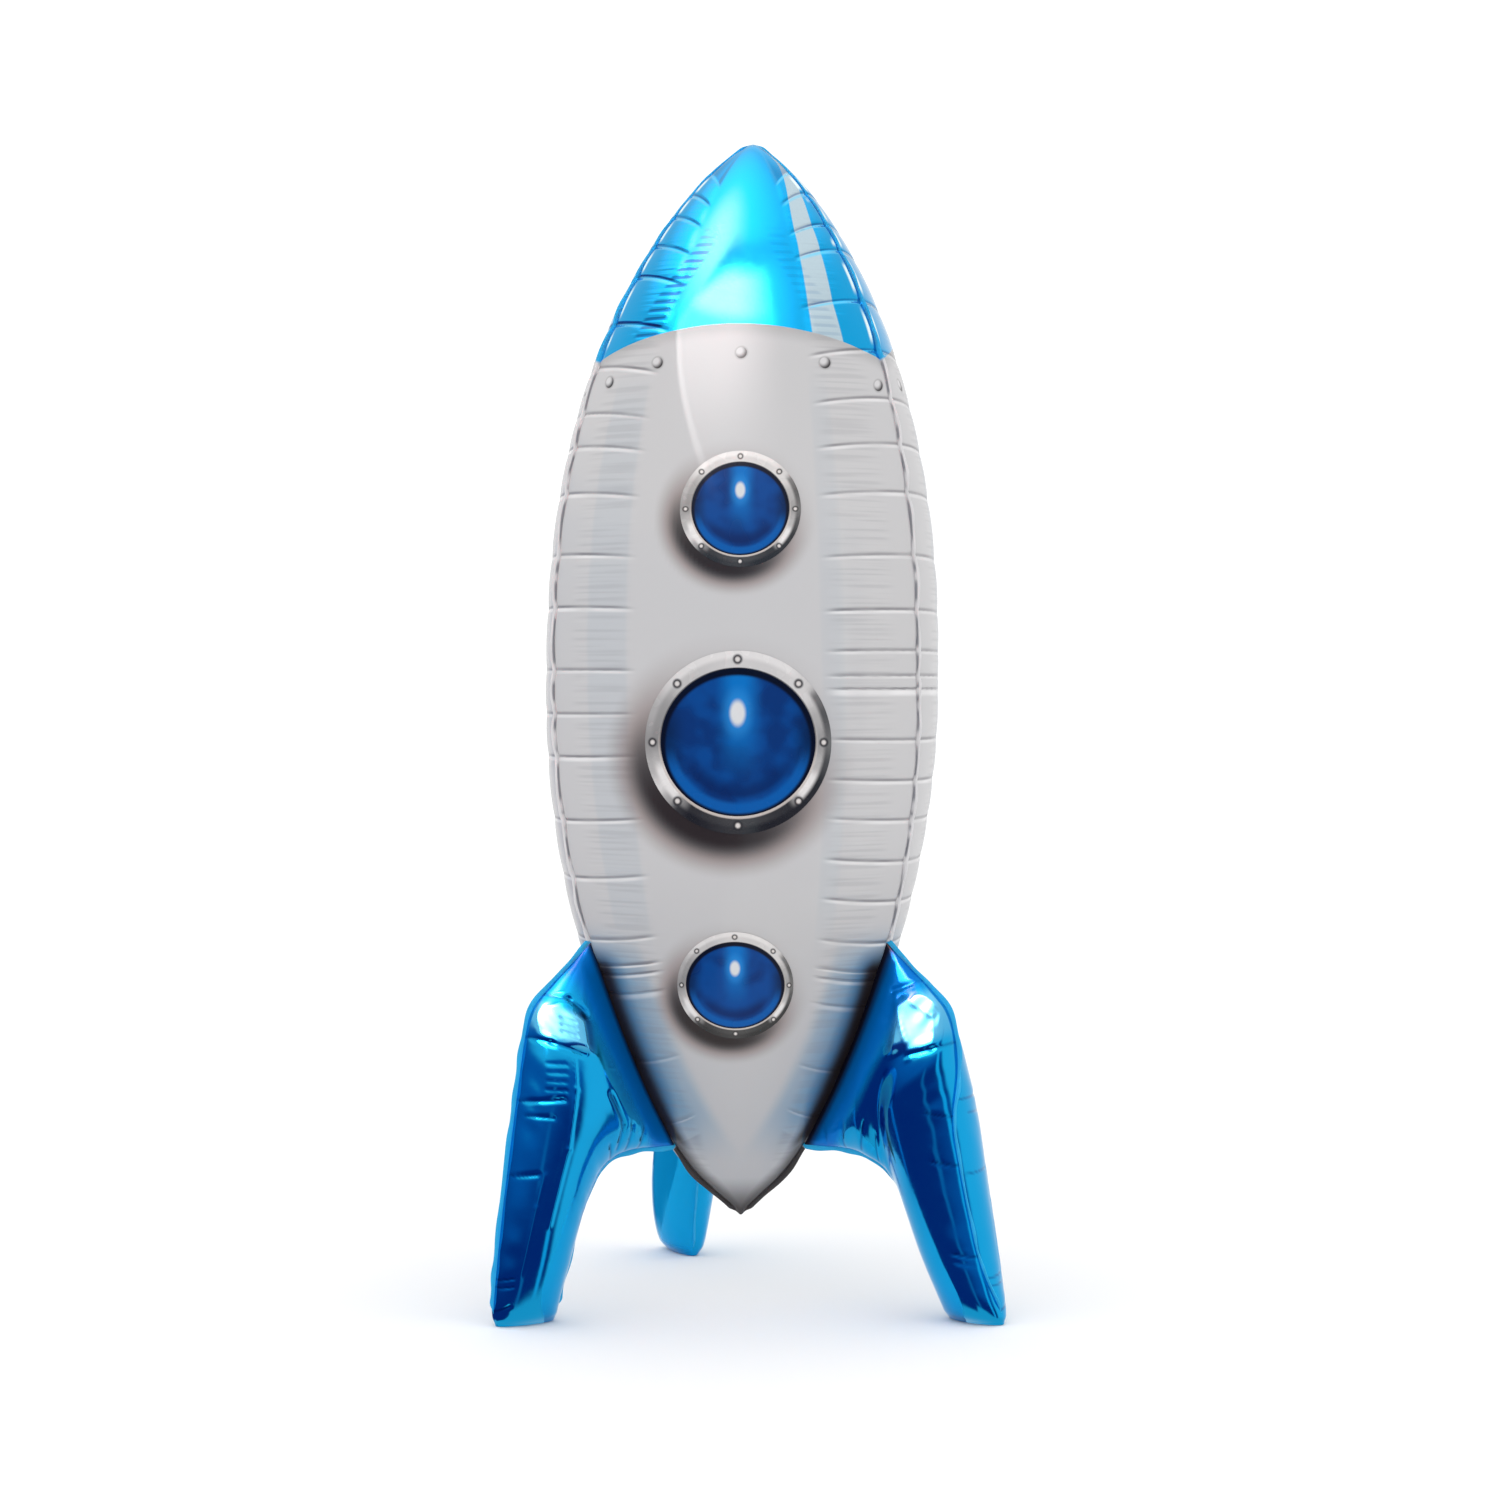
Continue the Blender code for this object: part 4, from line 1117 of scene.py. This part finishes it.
def hem_path(seam, upper, height):
    """A seam from the nose to the foot or from the foot to the tail: distance from the axis, then height."""
    fin_rows = np.linspace(0.0, HEM_LAST_ROW, 241)
    marks, heights = height_marks()
    if upper:
        top = np.interp(np.linspace(0.998, np.interp(FIN_TOP_Z, heights, marks), 500), marks, heights)
        stretches = (hull_edge(seam, top, height), edge_of_fin(fin_rows, 1))
    else:
        tail = np.interp(np.linspace(np.interp(FIN_BOTTOM_Z, heights, marks), 0.004, 160), marks, heights)
        stretches = (edge_of_fin(fin_rows[::-1], 0), hull_edge(seam, tail, height))
    rho, z = (np.concatenate(values) for values in zip(*stretches))
    length = np.concatenate(([0.0], np.cumsum(np.hypot(np.diff(rho), np.diff(z)))))
    corner = length[len(stretches[0][0])]
    even = np.linspace(0.0, length[-1], int(length[-1] / HEM_STEP))
    return np.interp(even, length, rho), np.interp(even, length, z), even, corner


def tube_faces(rows, columns):
    """Faces round a closed strip, with a face over each end."""
    k = np.arange(rows * columns).reshape(rows, columns)
    after = np.roll(k, -1, axis=1)
    sides = np.stack((k[:-1], after[:-1], after[1:], k[1:]), -1).reshape(-1, 4).tolist()
    return [*sides, k[0, ::-1].tolist(), k[-1].tolist()]


class BALLOON_OT_hems(bpy.types.Operator):
    """Makes the sealed hem outside every seam"""

    bl_idname = "balloon.hems"
    bl_label = "Hems"

    def execute(self, context):
        sizes = context.scene.balloon_sizes
        foil = hem_foil(context.scene.balloon_colours)
        half = HEM_THICKNESS / 2.0
        # Out from the seam as a share of the width, and aside
        outline = ((-1.0, half), (0.0, half), (0.5, 0.8 * half), (1.0, 0.5 * half),
                   (1.0, -0.5 * half), (0.5, -0.8 * half), (0.0, -half), (-1.0, -half))
        for seam in SEAM_AZIMUTHS:
            for end in ("upper", "lower"):
                rho, z, length, corner = hem_path(seam, end == "upper", sizes.pillow_height)
                across = unit(np.stack((-np.gradient(z), np.gradient(rho)), -1))
                taper = ease(np.minimum(length, length[-1] - length) / HEM_TIP_LENGTH)
                slim = HEM_TIP_WIDTH + (1.0 - HEM_TIP_WIDTH) * rise(HEIGHT - z, *HEM_WIDENS)
                uneven = 1.0 - HEM_UNEVENNESS + HEM_UNEVENNESS * wobble(length, *HEM_EDGE_WOBBLE)
                width = sizes.hem_width * slim * uneven
                wave = HEM_WAVE * wobble(length, *HEM_WAVE_WOBBLE)
                rows = []
                for out, aside in outline:
                    reach = -HEM_TUCK if out < 0.0 else out * width * taper
                    sideways = aside + max(out, 0.0) ** 2 * wave * taper
                    reach_rho = np.maximum(rho + across[:, 0] * reach, 0.0)
                    reach_z = np.maximum(z + across[:, 1] * reach, 0.0)
                    rows.append(seam_place(seam, reach_rho, reach_z, sideways))
                points = np.stack(rows, 1)
                outward = np.array([max(out, 0.0) for out, _ in outline])
                place = np.stack(np.broadcast_arrays(outward[None, :], length[:, None]), -1)
                beside_hull = (z < NOSE_EDGE_Z) & (length < corner) if end == "upper" else length > corner
                ink = fade(z, *TAIL_INK) * beside_hull
                count, _ = buckle_place(seam, z)
                dash = window(np.mod(count, 1.0), *DASH_SPAN) * (rho < HULL_REACH)
                dash = dash * ease(0.9 + 0.8 * wobble(length, *HEM_DASH_WOBBLE))
                fields = {}
                for key, values in (("pearl", beside_hull), ("dash", dash), ("ink", ink)):
                    fields[key] = np.broadcast_to(values[:, None], points.shape[:2])
                make_piece(
                    f"hem_strip_{seam}_{end}", points, tube_faces(*points.shape[:2]), foil,
                    f"hem_{seam}_{end}", place, fields,
                )
        return {"FINISHED"}


class BALLOON_OT_valve(bpy.types.Operator):
    """Makes the flat film tab of the inflation valve"""

    bl_idname = "balloon.valve"
    bl_label = "Valve tab"

    def execute(self, context):
        film = clear_film(context.scene.balloon_colours)
        out = np.linspace(0.0, 1.0, VALVE_STEPS[0] + 1)[:, None]
        up = np.linspace(-1.0, 1.0, VALVE_STEPS[1] + 1)[None, :]
        corner = VALVE_CORNER / VALVE_LENGTH
        past = np.clip((out - (1.0 - corner)) / corner, 0.0, 1.0)
        half_width = VALVE_WIDTH / 2.0 - VALVE_CORNER * (1.0 - np.sqrt(1.0 - past * past))
        z = VALVE_Z + up * half_width
        start = profile(z) * section(0.0) + context.scene.balloon_sizes.hem_width * 0.4
        rho = start + out * VALVE_LENGTH
        channel, bulge = VALVE_CHANNEL
        middle = bulge * np.exp(-((z - VALVE_Z) / channel) ** 4)
        ripple, pitch = VALVE_RIPPLE
        curl = VALVE_CURL * out * out * np.sin(2.2 * up + 0.6) + ripple * np.sin(rho / pitch)
        sides = [seam_place("rear", rho, z, curl + side * (middle + VALVE_HALF_FILM)) for side in (1.0, -1.0)]
        k = np.arange(rho.size).reshape(rho.shape)
        front = grid_faces(*rho.shape, False)
        faces = [*front.tolist(), *(front[:, ::-1] + rho.size).tolist()]
        rim = np.concatenate((k[0, :-1], k[:-1, -1], k[-1, :0:-1], k[:0:-1, 0]))
        after = np.roll(rim, -1)
        faces += np.stack((after, rim, rim + rho.size, after + rho.size), -1).tolist()
        uv = np.stack(np.broadcast_arrays(out, up), -1)
        make_piece(
            "valve_film_tab", np.stack(sides), faces, film, "inflation_valve_tab",
            np.stack((uv, uv)),
        )
        return {"FINISHED"}


def porthole_points(panel, centre_z, ring, angle, lift):
    """Points on a panel at rings round a porthole. ring holds the half width and half height of each."""
    start, end = panel_span(panel)
    facing = (start + end) / 2.0 + PORTHOLE_TURN
    sideways = ring[0] * np.cos(angle)
    z = centre_z + ring[1] * np.sin(angle)
    azimuth = np.full_like(z, facing)
    for _ in range(6):
        across = (azimuth - along(TWIST, z) - start) / (end - start)
        radius = profile(z) * section(across) + lift
        bow = along(AXIS_BOW, z) - along(AXIS_BOW, np.array(centre_z))
        offset = sideways - bow * math.cos(math.radians(facing))
        azimuth = facing + np.degrees(np.arcsin(np.clip(offset / radius, -1.0, 1.0)))
    across = (azimuth - along(TWIST, z) - start) / (end - start)
    return panel_points(panel, across, z, lift)


class BALLOON_OT_portholes(bpy.types.Operator):
    """Makes the printed rim and glass of every porthole"""

    bl_idname = "balloon.portholes"
    bl_label = "Portholes"

    def execute(self, context):
        colours = context.scene.balloon_colours
        rim_metal, glass = rim_print(colours), glass_print(colours)
        angle = np.linspace(0.0, 2.0 * math.pi, ROUND_STEPS + 1)[None, :]
        ring_share = np.linspace(0.0, 1.0, RIM_RINGS + 1)[:, None]
        disc_share = np.linspace(0.0, 1.0, GLASS_RINGS + 1)[:, None]
        rim_turn, ring_place = np.broadcast_arrays(angle / (2.0 * math.pi), ring_share)
        rim_fields = {"rivet_count": rim_turn * RIM_RIVETS, "ring": ring_place}
        disc_place = np.stack((disc_share * np.cos(angle), disc_share * np.sin(angle)), -1)
        for panel in PANELS:
            for name in PORTHOLES:
                centre, glass_half, rim_half = porthole_size(name)
                ring = [g + ring_share * (r - g) for g, r in zip(glass_half, rim_half)]
                points = porthole_points(panel, centre, ring, angle, PRINT_LIFT)
                make_piece(
                    f"rim_print_{panel}_{name}", points, grid_faces(*points.shape[:2], True), rim_metal,
                    f"porthole_rim_{panel}_{name}",
                    np.stack((rim_turn, ring_place), -1), rim_fields,
                )
                disc = [disc_share * g for g in glass_half]
                points = porthole_points(panel, centre, disc, angle, PRINT_LIFT)
                make_piece(
                    f"glass_print_{panel}_{name}", points, grid_faces(*points.shape[:2], True), glass,
                    f"porthole_glass_{panel}_{name}", disc_place,
                )
        return {"FINISHED"}


# Camera, in metres and degrees, with the focal length in pixels of the 1500-pixel photograph
CAMERA_X = -0.0030
CAMERA_DISTANCE = 3.0
CAMERA_HEIGHT = 0.6
CAMERA_AZIMUTH = 2.0
CAMERA_PITCH = -1.3
FOCAL_PIXELS = 3093.0
PHOTO_PIXELS = 1500.0
SENSOR_MM = 36.0
AMBIENT = 1.2
# Direction of the middle of the glow that the nose reflects
GLOW = (-0.348, -0.292, 0.891)
# Inner and outer radius of the floor's two rings. Only the inner one shows in the foil.
FLOOR_RINGS = (("floor_near", 0.0, 0.26), ("floor_far", 0.26, 8.0))
FLOOR_Z = -0.0002
FLOOR_STEPS = 96


class BALLOON_OT_stage(bpy.types.Operator):
    """Makes the floor, the studio light and the camera"""

    bl_idname = "balloon.stage"
    bl_label = "Studio"

    def execute(self, context):
        scene = context.scene
        azimuth = math.radians(CAMERA_AZIMUTH)
        camera = bpy.data.cameras.new("camera")
        camera.sensor_width = SENSOR_MM
        camera.lens = FOCAL_PIXELS / PHOTO_PIXELS * SENSOR_MM
        stand = bpy.data.objects.new("camera", camera)
        scene.collection.objects.link(stand)
        stand.location = (
            CAMERA_X + CAMERA_DISTANCE * math.sin(azimuth),
            AXIS_Y - CAMERA_DISTANCE * math.cos(azimuth),
            CAMERA_HEIGHT,
        )
        stand.rotation_euler = (math.radians(90.0 + CAMERA_PITCH), 0.0, azimuth)
        scene.camera = stand
        scene.view_settings.view_transform = "Standard"
        make_studio_light(scene)
        make_floor(scene)
        return {"FINISHED"}


def make_studio_light(scene):
    """Soft light from all round, a dark room in front of the balloon, and two light panels above it."""
    world = bpy.data.worlds.new("studio")
    world.use_nodes = True
    scene.world = world
    nodes = Nodes(world.node_tree)
    direction = nodes.place("Generated")
    x, y, z = nodes.parts(direction)
    azimuth = nodes.times(nodes.math("ARCTAN2", x, nodes.times(y, -1.0)), math.degrees(1.0))
    elevation = nodes.times(nodes.math("ARCSINE", z), math.degrees(1.0))
    # A dark blue room in front, with two narrow strips of light in it
    lower = nodes.total(elevation, nodes.times(nodes.span(azimuth, -95.0, -80.0, -15.0, -5.0), 14.0))
    level = nodes.times(nodes.step(elevation, 19.0, 9.0), nodes.step(lower, -31.0, -23.0))
    wider = nodes.total(azimuth, nodes.times(nodes.step(elevation, -26.0, -14.0), 25.0))
    room = nodes.times(nodes.step(wider, -135.0, -118.0), nodes.step(azimuth, 68.0, 58.0), level)
    shade = nodes.mix(nodes.step(elevation, -7.0, 10.0), (0.025, 0.05, 0.21), (0.05, 0.215, 0.47))
    strip = nodes.span(azimuth, 41.5, 45.5, 50.5, 54.0)
    shade = nodes.mix(nodes.times(strip, 0.9), shade, (0.5, 0.95, 1.05))
    faint = nodes.times(nodes.span(azimuth, -1.0, 4.0, 7.0, 11.0), nodes.step(elevation, 6.0, -4.0))
    shade = nodes.mix(nodes.times(faint, 0.3), shade, (0.5, 0.8, 1.0))
    around = nodes.mix(nodes.step(elevation, -8.0, -30.0), (1.0, 1.0, 1.0), (0.8, 0.8, 0.8))
    around = nodes.mix(nodes.step(elevation, 40.0, 56.0), around, (1.3, 1.3, 1.3))
    colour = nodes.mix(room, around, shade)
    # A light panel in front and above, with a slanted lower left edge that catches a thin bright line
    slanted = nodes.total(elevation, nodes.times(azimuth, 0.6))
    off_left = nodes.math("MINIMUM", nodes.total(azimuth, 15.0), 0.0)
    top = nodes.total(elevation, nodes.times(off_left, off_left, 0.0072))
    inside = nodes.times(nodes.step(slanted, 7.8, 9.8), nodes.step(top, 60.5, 55.5))
    panel = nodes.times(inside, nodes.step(azimuth, 26.0, -18.0), nodes.step(elevation, 19.0, 45.0))
    edge = nodes.times(
        nodes.span(slanted, 8.3, 9.3, 10.3, 12.0), nodes.span(elevation, 18.0, 26.0, 40.0, 46.0))
    spill = nodes.times(
        nodes.span(azimuth, -30.0, -5.0, 12.0, 52.0), nodes.span(elevation, 38.0, 46.0, 56.0, 66.0))
    # A wide glow to the upper left, beyond a dim arch over the panel
    off_arch = nodes.larger(nodes.math("MINIMUM", nodes.total(azimuth, 20.0), 0.0), -42.0)
    over_arch = nodes.step(nodes.total(elevation, nodes.times(off_arch, off_arch, 0.02)), 62.0, 69.0)
    from_glow = nodes.vector_math("DISTANCE", direction, GLOW)
    wide = nodes.add("MapRange", from_glow, 0.1, 0.8, 1.7, 0.0)
    glow = nodes.times(nodes.total(wide, nodes.times(nodes.step(from_glow, 0.22, 0.0), 1.6)), over_arch)
    light = nodes.total(
        nodes.times(panel, 12.0), nodes.times(edge, 5.0), nodes.times(spill, 0.9),
        nodes.times(glow, nodes.step(elevation, 36.0, 44.0)))
    # The bright middles are white enough to show in the blue foil, which takes up nearly all the red.
    white = nodes.total(
        nodes.times(inside, nodes.step(azimuth, 24.0, -16.0), nodes.step(elevation, 47.0, 50.5), 48.0),
        nodes.times(nodes.step(from_glow, 0.36, 0.03), over_arch, 34.0))
    light_colour = nodes.add("CombineXYZ", nodes.total(nodes.times(light, 1.06), white), light, light)
    colour = nodes.vector_math("ADD", light_colour, colour)
    path = nodes.tree.nodes.new("ShaderNodeLightPath").outputs
    glossy = nodes.larger(path["Is Glossy Ray"], path["Is Transmission Ray"])
    background = nodes.tree.nodes["Background"].inputs["Color"]
    nodes.put(background, nodes.mix(glossy, (AMBIENT, AMBIENT, AMBIENT), colour))


def make_floor(scene):
    finish = Finish("studio_floor", roughness=0.7, specular_ior_level=0.0)
    cloud = finish.noise(3.0, 2.0)
    finish.set("Base Color", finish.mix(cloud, (0.94, 0.94, 0.94), (0.96, 0.96, 0.96)))
    angle = np.linspace(0.0, 2.0 * math.pi, FLOOR_STEPS + 1)[None, :]
    for name, inner, outer in FLOOR_RINGS:
        radius = np.array((inner, outer))[:, None]
        points = np.stack(np.broadcast_arrays(radius * np.sin(angle), -radius * np.cos(angle), FLOOR_Z), -1)
        mesh = bpy.data.meshes.new(name)
        mesh.from_pydata(points.reshape(-1, 3).tolist(), [], grid_faces(*points.shape[:2], True).tolist())
        mesh.materials.append(finish.material)
        floor = bpy.data.objects.new(name, mesh)
        scene.collection.objects.link(floor)
        floor.visible_glossy = inner == 0.0


class BALLOON_PT_parts(bpy.types.Panel):
    """Shows the balloon's sizes and colours and the buttons that make its pieces"""

    bl_label = "Rocket foil balloon"
    bl_idname = "BALLOON_PT_parts"
    bl_space_type = "VIEW_3D"
    bl_region_type = "UI"
    bl_category = "Balloon"

    def draw(self, context):
        for group in (context.scene.balloon_sizes, context.scene.balloon_colours):
            for key in group.__annotations__:
                self.layout.prop(group, key)
        for operator in OPERATORS:
            self.layout.operator(operator.bl_idname)


GROUPS = (BalloonSizes, BalloonColours)
OPERATORS = (
    BALLOON_OT_stage, BALLOON_OT_panels, BALLOON_OT_fins, BALLOON_OT_hems, BALLOON_OT_portholes,
    BALLOON_OT_valve,
)


def register():
    for entry in (*GROUPS, *OPERATORS, BALLOON_PT_parts):
        bpy.utils.register_class(entry)
    bpy.types.Scene.balloon_sizes = bpy.props.PointerProperty(type=BalloonSizes)
    bpy.types.Scene.balloon_colours = bpy.props.PointerProperty(type=BalloonColours)


def unregister():
    del bpy.types.Scene.balloon_colours
    del bpy.types.Scene.balloon_sizes
    for entry in reversed((*GROUPS, *OPERATORS, BALLOON_PT_parts)):
        bpy.utils.unregister_class(entry)


def main():
    register()
    bpy.ops.balloon.stage()
    bpy.ops.balloon.panels()
    bpy.ops.balloon.fins()
    bpy.ops.balloon.hems()
    bpy.ops.balloon.portholes()
    bpy.ops.balloon.valve()


if __name__ == "__main__":
    main()
